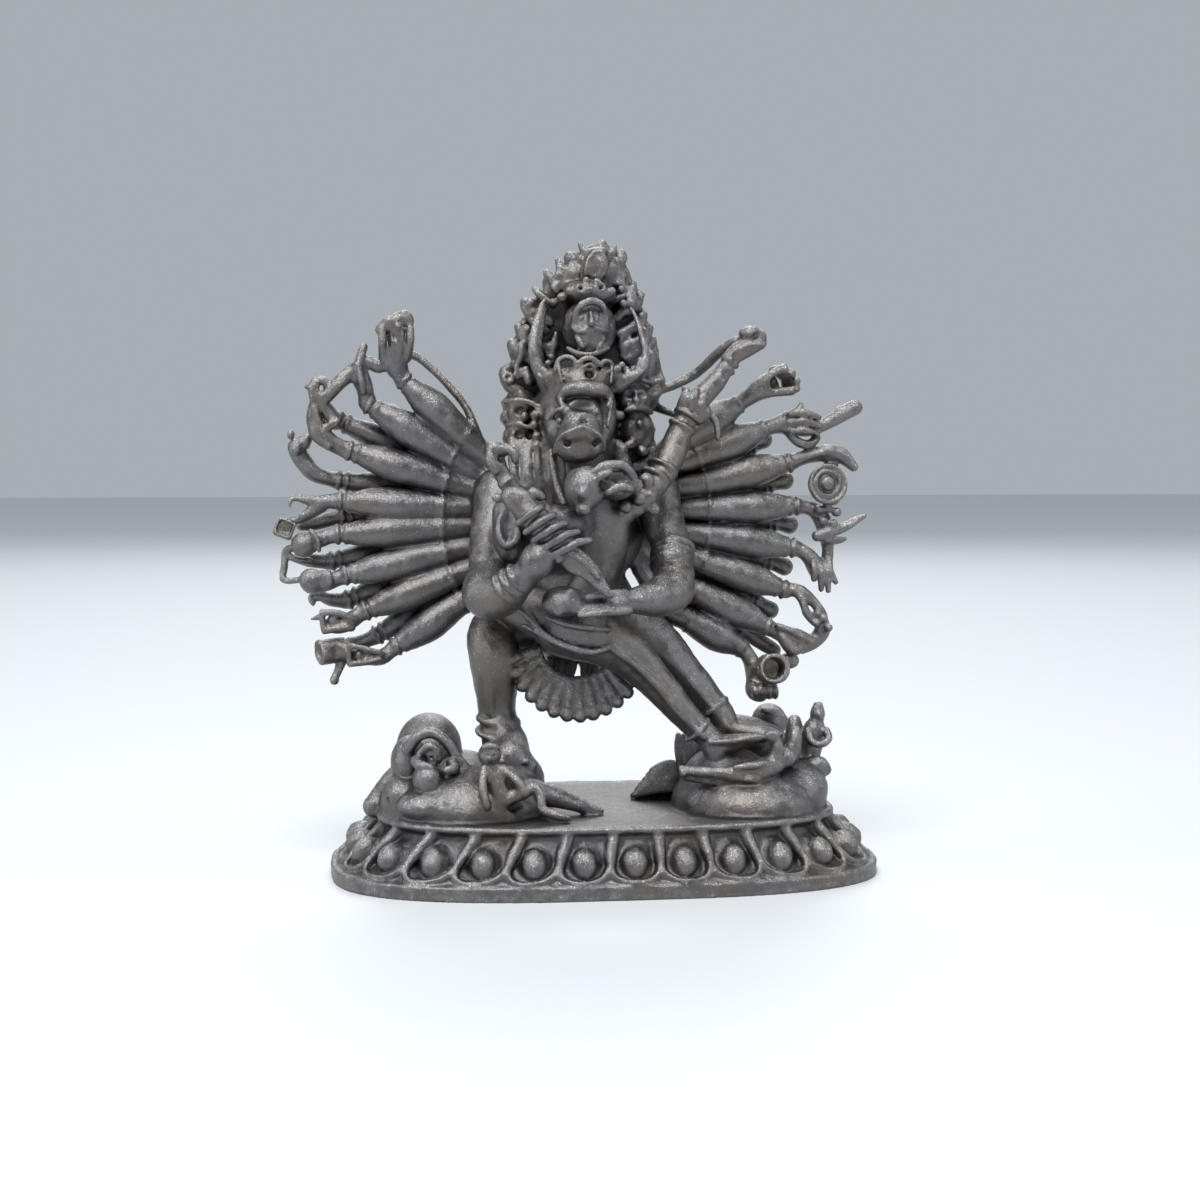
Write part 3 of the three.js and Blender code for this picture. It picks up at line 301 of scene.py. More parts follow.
    def block(self, centre, halves, turn=(0, 0, 0), rounding=0.15, blend=0.15, cut=False):
        """Box with rounded edges, turned in degrees about x, y and z."""
        part, x, y, z = self.window(centre, centre, float(np.linalg.norm(halves)) + blend + 0.1)
        x, y, z = x - centre[0], y - centre[1], z - centre[2]
        spin = np.array(Euler([math.radians(a) for a in turn]).to_matrix())
        inside = np.full(self.field[part].shape, -9.0, dtype=np.float32)
        outside = np.zeros(self.field[part].shape, dtype=np.float32)
        for axis, half in enumerate(halves):
            over = np.abs(x * spin[0, axis] + y * spin[1, axis] + z * spin[2, axis]) - half + rounding
            inside = np.maximum(inside, over)
            outside += np.maximum(over, 0) ** 2
        distance = np.minimum(inside, 0) + np.sqrt(outside) - rounding
        (self.remove if cut else self.merge)(part, distance, blend)

    def plate(self, outline, front, back, rounding=0.3, blend=0.2):
        """Upright plate with an outline of (x, z) points, between two depths."""
        corners = np.array(outline)
        low = (corners[:, 0].min(), front, corners[:, 1].min())
        high = (corners[:, 0].max(), back, corners[:, 1].max())
        part, x, y, z = self.window(low, high, blend + 0.3)
        px, pz = x[:, 0, 0][:, None], z[0, 0, :][None, :]
        nearest = np.full((px.shape[0], pz.shape[1]), 1e6, dtype=np.float32)
        inside = np.zeros(nearest.shape, dtype=bool)
        for (ax, az), (bx, bz) in zip(corners, np.roll(corners, -1, axis=0)):
            dx, dz = bx - ax, bz - az
            share = np.clip(((px - ax) * dx + (pz - az) * dz) / (dx * dx + dz * dz), 0, 1)
            nearest = np.minimum(nearest, (px - ax - share * dx) ** 2 + (pz - az - share * dz) ** 2)
            if dz != 0:
                crosses = (az > pz) != (bz > pz)
                inside ^= crosses & (px < ax + (pz - az) * dx / dz)
        flat = np.sqrt(nearest) * np.where(inside, -1, 1)
        side = flat[:, None, :] + rounding
        depth = np.abs(y - (front + back) / 2) - (back - front) / 2 + rounding
        outside = np.sqrt(np.maximum(side, 0) ** 2 + np.maximum(depth, 0) ** 2)
        self.merge(part, np.minimum(np.maximum(side, depth), 0) + outside - rounding, blend)


def outline_point(angle, share, height, out=0.0):
    """Point of the base's outline in a direction; share 0 is the foot and 1 the top's edge."""
    half_length = BASE_HALF_LENGTH + (TOP_HALF_LENGTH - BASE_HALF_LENGTH) * share + out
    half_depth = BASE_HALF_DEPTH + (TOP_HALF_DEPTH - BASE_HALF_DEPTH) * share + out
    power = 2 / BASE_ROUNDNESS
    x = half_length * math.copysign(abs(math.cos(angle)) ** power, math.cos(angle))
    y = half_depth * math.copysign(abs(math.sin(angle)) ** power, math.sin(angle))
    return np.array((x, y, height))


def even_directions(count, start):
    """Directions that space points evenly along the base's outline."""
    angles = np.linspace(0, 2 * math.pi, 1441)
    points = np.array([outline_point(angle, 0.5, 0) for angle in angles])
    lengths = np.concatenate(([0], np.cumsum(np.linalg.norm(np.diff(points, axis=0), axis=1))))
    targets = lengths[-1] * (np.arange(count) + start) / count
    return np.interp(targets, lengths, angles)


def base_body(clay):
    """Foot, sloping side and top of the lotus base."""
    part, x, y, z = clay.window((-22, -14, 0), (22, 14, BASE_HEIGHT), 0.6)
    share = read_table(BASE_PROFILE, z).astype(np.float32)
    half_length = BASE_HALF_LENGTH + (TOP_HALF_LENGTH - BASE_HALF_LENGTH) * share
    half_depth = BASE_HALF_DEPTH + (TOP_HALF_DEPTH - BASE_HALF_DEPTH) * share
    power = BASE_ROUNDNESS
    along = (np.abs(x) / half_length) ** power
    beside = (np.abs(y) / half_depth) ** power
    reach = np.maximum(along + beside, 1e-6) ** (1 / power)
    slope_x = (along / np.maximum(np.abs(x), 1e-3)) * reach ** (1 - power)
    slope_y = (beside / np.maximum(np.abs(y), 1e-3)) * reach ** (1 - power)
    side = (reach - 1) / np.maximum(np.sqrt(slope_x**2 + slope_y**2), 1e-4) * 0.88
    distance = np.maximum(side, z - BASE_HEIGHT)
    clay.merge(part, distance.astype(np.float32), 0.05)


def turn_of(beside, inward, rise):
    """Angles in degrees about x, y and z of a turn that takes the axes to three directions."""
    turn = Matrix((beside, inward, rise)).transposed().to_euler()
    return [math.degrees(angle) for angle in turn]


def petals(clay):
    """Row of petals round the base: a swollen boss in each, and a narrow rough column between two."""
    for angle in even_directions(PETAL_COUNT, PETAL_PHASE):
        low = outline_point(angle, 0.25, 1.3)
        high = outline_point(angle, 1.08, 4.4)
        rise = (high - low) / np.linalg.norm(high - low)
        beside = outline_point(angle + 0.02, 0.5, 0) - outline_point(angle - 0.02, 0.5, 0)
        beside /= np.linalg.norm(beside)
        outward = np.cross(beside, rise)
        place = lambda across, up, out: low + beside * across + rise * up + outward * out
        size = float(np.linalg.norm(high - low))
        middle = place(0, size * 0.42, 0.12)
        turn = turn_of(beside, -outward, rise)
        clay.ball(place(0, size * 0.46, -0.95), (1.5, 1.2, 2.0), turn, 0.2)
        clay.ball(middle, (0.92, 0.95, 1.18), turn, 0.18)
        half = 1.96
        for sign in (-1, 1):
            foot = [(*place(sign * half, size * 0.30, -0.05), 0.3), (*place(sign * half * 0.72, size * 0.08, 0.1), 0.24),
                    (*place(sign * half * 0.3, -0.06, 0.22), 0.2), (*place(0, -0.1, 0.25), 0.18)]
            clay.rod(foot, 0.2)
        column = [(*place(half, size * 1.02, -0.05), 0.5), (*place(half, size * 0.6, 0.0), 0.42),
                  (*place(half, size * 0.22, 0.0), 0.26)]
        clay.rod(column, 0.2)


def rims(clay):
    """Raised line round the top of the base, and the worn edge of its foot."""
    around = np.linspace(0, 2 * math.pi, 97)
    upper = [(*outline_point(angle, 0.98, 4.98), 0.24) for angle in around]
    clay.rod(upper, 0.15, steps=1)
    foot = [(*outline_point(angle, 0.02, 0.95, -0.12), 0.2) for angle in around]
    clay.rod(foot, 0.15, steps=1)


def fist(clay, wrist, along, size=1.0, side=1):
    """Closed hand: palm, four bent fingers and a thumb, reaching on from the wrist."""
    forward = np.array((along[0], 0, along[1]), dtype=float)
    forward /= np.linalg.norm(forward)
    across = np.array((-forward[2], 0, forward[0])) * side
    out = np.array((0, -1.0, 0))
    at = lambda f, a, o: np.array(wrist) + (forward * f + across * a + out * o) * size
    clay.rod([(*at(0, 0, 0), 0.55 * size), (*at(0.9, 0, 0.1), 0.78 * size), (*at(1.4, 0, 0.1), 0.7 * size)], 0.25)
    for finger in range(4):
        a = -0.66 + 0.44 * finger
        bend = 0.08 * (finger - 1.5) ** 2
        clay.rod([(*at(1.4, a, 0.3), 0.27 * size), (*at(2.0 - bend, a, 0.55), 0.28 * size),
                  (*at(1.75 - bend, a, 1.0), 0.26 * size), (*at(1.2, a, 1.05), 0.22 * size)], 0.08)
    clay.rod([(*at(0.5, 0.7, 0.3), 0.28 * size), (*at(1.0, 0.75, 0.85), 0.27 * size),
              (*at(1.45, 0.3, 1.2), 0.22 * size)], 0.08)


def open_hand(clay, wrist, along, size=1.0, spread=0.25, curl=0.3):
    """Open hand: palm with four long fingers and a thumb."""
    forward = np.array((along[0], 0, along[1]), dtype=float)
    forward /= np.linalg.norm(forward)
    across = np.array((-forward[2], 0, forward[0]))
    out = np.array((0, -1.0, 0))
    at = lambda f, a, o: np.array(wrist) + (forward * f + across * a + out * o) * size
    clay.rod([(*at(0, 0, 0), 0.5 * size), (*at(0.9, 0, 0), 0.72 * size), (*at(1.3, 0, 0), 0.6 * size)], 0.25)
    for finger in range(4):
        a = -0.6 + 0.4 * finger
        wide = a * (1 + spread)
        clay.rod([(*at(1.2, a, 0), 0.26 * size), (*at(2.1, wide, curl * 0.4), 0.24 * size),
                  (*at(2.9 - 0.12 * abs(finger - 1.5), wide * 1.1, curl), 0.18 * size)], 0.06)
    clay.rod([(*at(0.4, 0.6, 0.2), 0.26 * size), (*at(1.2, 1.0, 0.4), 0.22 * size)], 0.08)


def fan_arm(clay, row, fan, depth, swell):
    """One arm of a fan, with its armlet and the two rings at its wrist."""
    root_height, wrist_x, wrist_height, hand = row
    length_x = wrist_x - fan["root_x"]
    length_z = wrist_height - root_height
    station = lambda share, radius: (fan["root_x"] + length_x * share, depth, root_height + length_z * share, radius)
    arm = [(fan["hub_x"], depth - 0.7, fan["hub_height"], 0.6), station(0, 0.74), station(0.28, 0.95),
           station(0.5, swell * 0.9), station(0.66, swell), station(0.82, swell * 0.8), station(0.95, WRIST_RADIUS)]
    arm.append(station(1.0, WRIST_RADIUS))
    clay.rod(arm, 0.22, steps=3)
    along = (length_x, 0, length_z)
    x, y, z, _ = station(0.34, 0)
    clay.ring((x, y, z), along, swell * 0.74, 0.13, 0.1)
    for share in (0.93, 0.98):
        x, y, z, _ = station(share, 0)
        clay.ring((x, y, z), along, WRIST_RADIUS + 0.06, 0.16, 0.08)
    steps = [(wrist_x, depth, wrist_height, WRIST_RADIUS * 0.9)]
    for step_x, step_z, radius in hand:
        steps.append((wrist_x + step_x, depth - 0.2, wrist_height + step_z, radius * 0.92))
    clay.rod(steps, 0.2)


def fans(clay):
    """Both rows of both fans of arms."""
    for rows, fan, depth, swell in (
        (LEFT_REAR_ARMS, LEFT_FAN, REAR_ROW_Y, REAR_SWELL),
        (RIGHT_REAR_ARMS, RIGHT_FAN, REAR_ROW_Y, REAR_SWELL),
        (LEFT_FRONT_ARMS, LEFT_FAN, FRONT_ROW_Y, ARM_SWELL),
        (RIGHT_FRONT_ARMS, RIGHT_FAN, FRONT_ROW_Y, ARM_SWELL),
    ):
        for row in rows:
            fan_arm(clay, row, fan, depth, swell)


def left_hands(clay):
    """Hands of the left fan and what they hold, from the top down."""
    for x, lean in ((-17.2, -0.1), (-16.55, 0.15), (-15.85, -0.05), (-15.35, 0.2)):
        clay.rod([(x, 0.5, 40.4, 0.36), (x + lean, -0.1, 41.6, 0.3), (x + lean, 0.0, 42.7, 0.32)], 0.1)
    clay.rod([(-16.2, 0.8, 39.6, 0.8), (-16.35, 0.8, 41.0, 0.95), (-16.3, 1.0, 42.2, 0.85)], 0.2)
    clay.rod([(-17.4, 0.4, 42.6, 0.45), (-16.5, 0.2, 43.2, 0.62), (-15.5, 0.3, 43.6, 0.6)], 0.12)
    clay.ball((-15.25, 0.3, 43.3), (0.45, 0.5, 0.55), (0, 0, 0), 0.08)
    clay.ball((-16.9, -0.1, 43.3), 0.32, blend=0.08)
    clay.ball((-16.1, -0.3, 42.8), 0.3, blend=0.08)
    clay.ball((-16.35, -0.5, 42.1), (0.22, 0.4, 0.45), cut=True, blend=0.08)
    clay.rod([(-18.3, 0.8, 40.1, 0.5), (-17.5, 0.8, 39.8, 0.55), (-16.5, 0.8, 40.3, 0.5)], 0.1)
    clay.rod([(-19.1, 0.6, 39.5, 0.45), (-18.95, 0.5, 40.6, 0.36), (-18.7, 0.5, 41.3, 0.3)], 0.1)
    clay.rod([(-19.2, 0.2, 39.9, 0.3), (-19.0, 0.0, 38.9, 0.26), (-18.8, 0.1, 37.8, 0.25)], 0.06)
    clay.rod([(-19.6, 0.7, 39.4, 0.6), (-20.7, 0.5, 38.4, 0.58), (-21.8, 0.5, 37.2, 0.5)], 0.12)
    clay.ring((-22.1, 0.4, 38.1), (0.2, -1, 0.1), 0.6, 0.36, 0.1)
    clay.rod([(-22.5, 0.4, 38.1, 0.4), (-23.2, 0.4, 38.15, 0.2)], 0.08)
    clay.rod([(-22.8, 0.5, 37.8, 0.3), (-22.5, 0.3, 36.2, 0.34), (-22.2, 0.4, 34.6, 0.36)], 0.08)
    clay.rod([(-22.3, 0.6, 37.4, 0.4), (-21.6, 0.6, 36.2, 0.42), (-21.0, 0.7, 35.4, 0.4)], 0.1)
    clay.rod([(-22.3, 1.2, 37.4, 0.5), (-22.5, 1.4, 36.0, 0.7), (-22.3, 1.2, 34.8, 0.75)], 0.2)
    clay.rod([(-21.0, 0.4, 35.4, 0.4), (-21.9, 0.4, 34.7, 0.36), (-21.5, 0.3, 33.6, 0.4)], 0.08)
    clay.ball((-24.4, 2.1, 34.5), (0.34, 0.34, 0.42), blend=0.08)
    clay.ball((-24.0, 1.6, 33.5), (0.5, 0.5, 0.62), blend=0.08)
    clay.rod([(-23.4, 1.9, 33.9, 0.6), (-23.2, 1.8, 34.1, 0.45)], 0.1)
    clay.rod([(-21.9, 0.8, 29.2, 0.55), (-23.1, 0.7, 29.4, 0.4), (-24.1, 0.7, 29.6, 0.28), (-24.5, 0.6, 29.3, 0.22),
              (-24.5, 0.5, 28.9, 0.13)], 0.08)
    clay.rod([(-22.0, 0.9, 28.8, 0.4), (-22.8, 0.9, 28.3, 0.32), (-23.6, 1.0, 27.9, 0.36), (-24.6, 1.0, 27.8, 0.3)], 0.08)
    clay.block((-24.95, 0.9, 27.2), (0.75, 0.75, 0.72), (0, 22, 0), 0.12, 0.08)
    clay.block((-24.95, 0.0, 27.25), (0.55, 0.6, 0.5), (0, 22, 0), 0.1, 0.06, cut=True)
    clay.ball((-23.45, 0.4, 25.95), (1.0, 0.95, 1.0), blend=0.12)
    clay.rod([(-22.9, -0.1, 27.0, 0.24), (-22.4, -0.2, 26.3, 0.24), (-22.3, -0.1, 25.5, 0.2)], 0.05)
    clay.rod([(-24.2, 1.2, 25.7, 0.3), (-24.9, 1.6, 25.4, 0.26), (-25.0, 1.7, 24.2, 0.26), (-25.1, 1.7, 23.2, 0.28),
              (-24.2, 1.4, 23.1, 0.26), (-23.4, 1.0, 23.3, 0.26)], 0.06)
    clay.rod([(-24.9, 1.6, 25.2, 0.24), (-24.0, 1.5, 24.7, 0.26), (-23.0, 1.6, 24.6, 0.3)], 0.06)
    clay.ball((-22.9, 0.5, 23.15), (1.0, 0.95, 0.95), blend=0.12)
    for x in (-21.95, -21.5):
        clay.rod([(x - 0.1, 0.0, 23.8, 0.24), (x, -0.1, 23.3, 0.25), (x + 0.05, 0.1, 22.7, 0.22)], 0.05)
    clay.rod([(-22.1, 2.4, 21.7, 0.35), (-22.9, 2.3, 21.7, 0.3), (-22.8, 2.2, 21.2, 0.22)], 0.06)
    clay.rod([(-22.1, 0.1, 20.7, 0.24), (-20.9, 0.0, 20.6, 0.26), (-19.6, 0.3, 20.1, 0.3)], 0.06)
    clay.rod([(-22.1, 0.2, 20.7, 0.24), (-22.1, 0.2, 19.9, 0.22), (-21.9, 0.2, 19.2, 0.26)], 0.06)
    clay.rod([(-21.9, 0.2, 19.2, 0.26), (-20.8, 0.1, 19.4, 0.28), (-19.8, 0.4, 19.4, 0.3)], 0.06)
    clay.ball((-21.2, 0.4, 20.0), (0.5, 0.45, 0.45), (0, 45, 0), 0.08)
    clay.rod([(-22.2, 1.6, 20.2, 0.3), (-23.0, 1.8, 20.0, 0.12)], 0.06)
    clay.rod([(-20.0, -0.1, 18.1, 0.24), (-18.8, -0.1, 17.8, 0.22), (-17.5, 0.1, 17.4, 0.26)], 0.06)
    clay.rod([(-20.0, -0.1, 18.1, 0.22), (-20.1, -0.1, 17.3, 0.2), (-20.0, 0.0, 16.6, 0.24)], 0.06)
    clay.rod([(-20.0, 0.0, 16.6, 0.24), (-18.8, 0.0, 16.7, 0.24), (-17.6, 0.2, 16.9, 0.28)], 0.06)
    clay.ball((-19.3, 0.3, 17.3), (0.42, 0.4, 0.42), (0, 30, 0), 0.08)
    clay.drum((-21.3, 0.6, 17.6), (1, 0.35, 0.12), 0.98, 1.05, 0.15, 0.1)
    clay.ring((-22.3, 0.25, 17.5), (1, 0.35, 0.12), 0.85, 0.17, 0.06)
    clay.drum((-22.6, 0.15, 17.45), (1, 0.35, 0.12), 0.68, 0.5, 0.05, 0.06, cut=True)
    clay.ball((-20.95, -0.45, 17.6), (0.42, 0.4, 0.62), blend=0.08, cut=True)
    clay.rod([(-20.6, 0.8, 16.8, 0.42), (-20.9, 0.7, 16.0, 0.34), (-21.2, 0.6, 15.4, 0.34)], 0.08)
    clay.ball((-21.2, 0.6, 15.3), 0.4, blend=0.06)


def right_hands(clay):
    """Hands of the right fan and what they hold, from the top down."""
    for x, z in ((14.5, 39.7), (15.1, 39.4), (15.5, 38.8), (15.5, 38.2)):
        clay.rod([(x - 0.5, 1.4, z - 0.1, 0.45), (x, 0.8, z, 0.4), (x + 0.05, 0.0, z - 0.05, 0.34)], 0.08)
    clay.rod([(12.8, 0.4, 38.6, 0.45), (13.7, 0.2, 39.3, 0.38), (14.5, 0.2, 39.8, 0.36)], 0.1)
    clay.rod([(12.7, 0.4, 37.8, 0.45), (14.0, 0.3, 37.9, 0.4), (15.2, 0.3, 38.0, 0.4)], 0.1)
    clay.ball((14.0, 0.1, 38.7), (0.7, 0.7, 0.5), (0, -35, 0), 0.1, cut=True)
    clay.ball((16.0, 0.7, 35.6), (1.5, 0.9, 1.0), (0, 10, 0), 0.2)
    for z, length in ((36.2, 1.5), (35.5, 1.6), (34.8, 1.4)):
        clay.rod([(15.0, -0.1, z - 0.1, 0.26), (16.1, -0.4, z + 0.05, 0.32), (15.9 + length, 0.0, z - 0.35, 0.24)], 0.06)
    clay.rod([(15.9, 0.5, 36.4, 0.35), (16.0, 0.4, 36.9, 0.2)], 0.08)
    clay.rod([(14.7, 0.3, 34.9, 0.35), (15.6, 0.1, 34.0, 0.36), (16.6, 0.2, 33.7, 0.4), (17.3, 0.4, 34.3, 0.34)], 0.08)
    clay.ball((16.8, -0.1, 34.3), (0.4, 0.5, 0.28), cut=True, blend=0.08)
    clay.rod([(17.2, 0.8, 34.9, 0.48), (18.4, 0.8, 35.5, 0.52), (19.5, 0.8, 36.2, 0.68), (20.4, 0.8, 36.6, 0.62)], 0.1)
    clay.ball((20.5, 0.7, 36.7), (0.62, 0.6, 0.6), blend=0.08)
    clay.rod([(16.6, 0.4, 32.7, 0.3), (17.4, 0.2, 33.0, 0.3), (18.3, 0.2, 33.2, 0.34)], 0.06)
    clay.rod([(18.2, 0.7, 33.2, 0.5), (19.3, 0.6, 32.9, 0.65), (20.4, 0.6, 31.9, 0.4)], 0.12)
    clay.rod([(18.6, 0.8, 32.0, 0.6), (18.8, 0.9, 29.4, 0.6)], 0.15)
    clay.drum((18.15, 0.0, 30.55), (0.1, -1, 0.06), 1.62, 0.4, 0.2, 0.1)
    clay.ring((18.1, -0.42, 30.58), (0.1, -1, 0.06), 1.48, 0.16, 0.05)
    clay.ring((18.06, -0.5, 30.6), (0.1, -1, 0.06), 1.0, 0.16, 0.05)
    clay.ball((18.0, -0.45, 30.62), (0.6, 0.5, 0.6), blend=0.06)
    clay.ring((17.99, -0.78, 30.64), (0.1, -1, 0.06), 0.42, 0.1, 0.05)
    for x, z in ((17.5, 28.5), (18.2, 28.6), (18.9, 28.3), (17.8, 27.6), (18.6, 27.4)):
        clay.ball((x, 0.1, z), (0.42, 0.42, 0.38), blend=0.1)
    clay.ball((18.2, -0.1, 28.0), 0.25, cut=True, blend=0.06)
    clay.rod([(17.4, 0.3, 26.4, 0.5), (18.6, 0.2, 26.8, 0.45), (19.8, 0.2, 27.2, 0.38), (21.2, 0.2, 28.0, 0.24)], 0.1)
    clay.rod([(18.2, 0.3, 26.1, 0.4), (19.0, 0.3, 26.0, 0.34), (19.7, 0.4, 26.15, 0.2)], 0.08)
    clay.rod([(18.3, 0.8, 26.0, 0.55), (18.4, 0.8, 25.2, 0.5), (18.3, 0.8, 24.2, 0.5)], 0.12)
    for x, z, tip_x, tip_z in ((17.1, 23.6, 17.1, 22.9), (17.7, 23.4, 17.7, 22.1), (18.2, 23.4, 18.3, 22.0), (18.4, 23.6, 18.9, 22.7)):
        clay.rod([(x, 0.4, z + 0.7, 0.34), (x, 0.1, z, 0.32), (tip_x, 0.2, tip_z, 0.24)], 0.07)
    clay.rod([(15.6, 0.6, 22.1, 0.42), (16.2, 0.3, 21.2, 0.36), (16.5, 0.3, 20.3, 0.36), (17.2, 0.4, 19.5, 0.36)], 0.08)
    clay.rod([(16.2, 0.7, 22.0, 0.46), (17.0, 0.6, 21.3, 0.42), (17.7, 0.6, 20.4, 0.42), (18.0, 0.6, 19.9, 0.36)], 0.08)
    for x, z in ((17.4, 20.2), (17.9, 19.8), (17.3, 19.4), (18.3, 19.0)):
        clay.ball((x, 0.1, z), (0.36, 0.4, 0.34), blend=0.1)
    clay.rod([(17.7, 0.8, 19.8, 0.6), (18.0, 0.8, 18.8, 0.65), (17.4, 1.0, 17.9, 0.62), (16.4, 1.0, 17.4, 0.6)], 0.15)
    clay.rod([(14.2, 0.2, 19.2, 0.3), (15.4, 0.0, 18.7, 0.28), (16.9, 0.3, 17.9, 0.26)], 0.07)
    clay.rod([(14.6, 0.4, 18.3, 0.5), (15.3, 0.2, 17.3, 0.5), (16.0, 0.3, 17.3, 0.4)], 0.1)
    clay.ball((15.3, 0.9, 16.3), (0.8, 0.7, 0.7), blend=0.15)
    clay.ball((11.35, 0.7, 17.5), (0.45, 0.5, 0.42), blend=0.1)
    clay.rod([(12.4, 0.2, 14.9, 0.75), (12.4, 0.2, 14.1, 0.85), (12.7, 0.1, 13.8, 0.75)], 0.15)
    for finger in range(4):
        x = 12.0 + 0.55 * finger
        clay.rod([(x, -0.4, 14.6, 0.3), (x + 0.1, -0.95, 14.15, 0.28), (x + 0.2, -0.6, 13.6, 0.26)], 0.06)
    clay.rod([(12.4, 0.0, 15.7, 0.6), (13.3, 0.1, 15.4, 0.7)], 0.15)
    clay.drum((13.5, -0.9, 15.85), (0.1, -1, 0.1), 1.2, 1.2, 0.1, 0.1)
    clay.ring((13.4, -2.0, 15.98), (0.1, -1, 0.1), 1.06, 0.16, 0.05)
    clay.drum((13.4, -2.0, 15.98), (0.1, -1, 0.1), 0.86, 1.3, 0.05, 0.05, cut=True)


def scarves(clay):
    """Loops of scarf that run from the shoulders to the highest hands."""
    clay.rod([(-16.0, 1.4, 40.9, 0.4), (-14.9, 1.5, 40.7, 0.42), (-14.0, 1.6, 40.2, 0.42), (-12.3, 1.6, 38.6, 0.42),
              (-10.7, 1.4, 36.6, 0.42), (-9.8, 1.0, 34.4, 0.42), (-8.9, 0.6, 32.2, 0.45)], 0.15, ((0.7, 0.0, 0.7), 0.75))
    clay.rod([(4.4, 1.2, 37.9, 0.4), (6.2, 1.0, 38.6, 0.38), (7.7, 0.4, 39.5, 0.4), (9.1, -1.2, 41.0, 0.42),
              (10.2, -2.2, 41.8, 0.42)], 0.15)
    clay.rod([(3.9, 1.0, 36.9, 0.4), (4.7, 0.2, 36.5, 0.34), (5.7, -1.8, 36.0, 0.34)], 0.15)


def trunk(clay):
    """Trunk, shoulders and hips of the large figure, with the hair and strands on the chest."""
    clay.ball((BODY_X, 0.5, CHEST_HEIGHT), (5.7, 3.5, 5.0), blend=0.5)
    clay.ball((-8.0, 0.3, 29.2), (2.3, 2.3, 2.7), (0, -20, 0), 0.4)
    clay.ball((3.9, 0.1, 29.5), (2.2, 2.2, 2.5), (0, 20, 0), 0.4)
    clay.rod([(BODY_X, 0.6, 29.5, 4.0), (BODY_X, -0.4, 32.6, 3.4), (BODY_X, -1.0, 36.0, 3.3)], 0.5, ((0, 1, 0), 0.9))
    clay.ball((-2.5, 0.4, WAIST_HEIGHT), (4.9, 3.3, 3.4), blend=0.5)
    clay.ball((-3.2, 0.1, HIP_HEIGHT), (5.7, 3.3, 2.5), (0, 6, 0), 0.5)
    for strand in range(7):
        x = -7.3 + 0.62 * strand
        sway = 0.25 * math.sin(2.1 * strand)
        clay.rod([(x, -1.9 - 0.12 * strand, 34.0, 0.42), (x + sway, -2.6 - 0.1 * strand, 31.8, 0.4),
                  (x + 0.3, -2.9, 29.6, 0.36), (x + 0.5, -2.6, 27.4, 0.3)], 0.12)
    for bead in range(13):
        share = bead / 12
        clay.ball((-4.6 + 0.85 * share**2, -4.0 - 0.6 * share, 33.2 - 4.0 * share), 0.27, blend=0.06)
    clay.rod([(0.8, -2.0, 33.6, 0.6), (1.6, -2.4, 31.2, 0.7), (2.0, -2.4, 29.4, 0.7)], 0.15)
    for rib in range(5):
        clay.rod([(-6.6, 3.3, 30.5 - 1.7 * rib, 0.3), (BODY_X, 4.0, 30.9 - 1.7 * rib, 0.32),
                  (1.8, 3.3, 30.5 - 1.7 * rib, 0.3)], 0.35)
    clay.rod([(BODY_X, 3.6, 33.0, 0.5), (BODY_X, 4.1, 27.0, 0.5), (-2.6, 3.6, 19.0, 0.5)], 0.5)


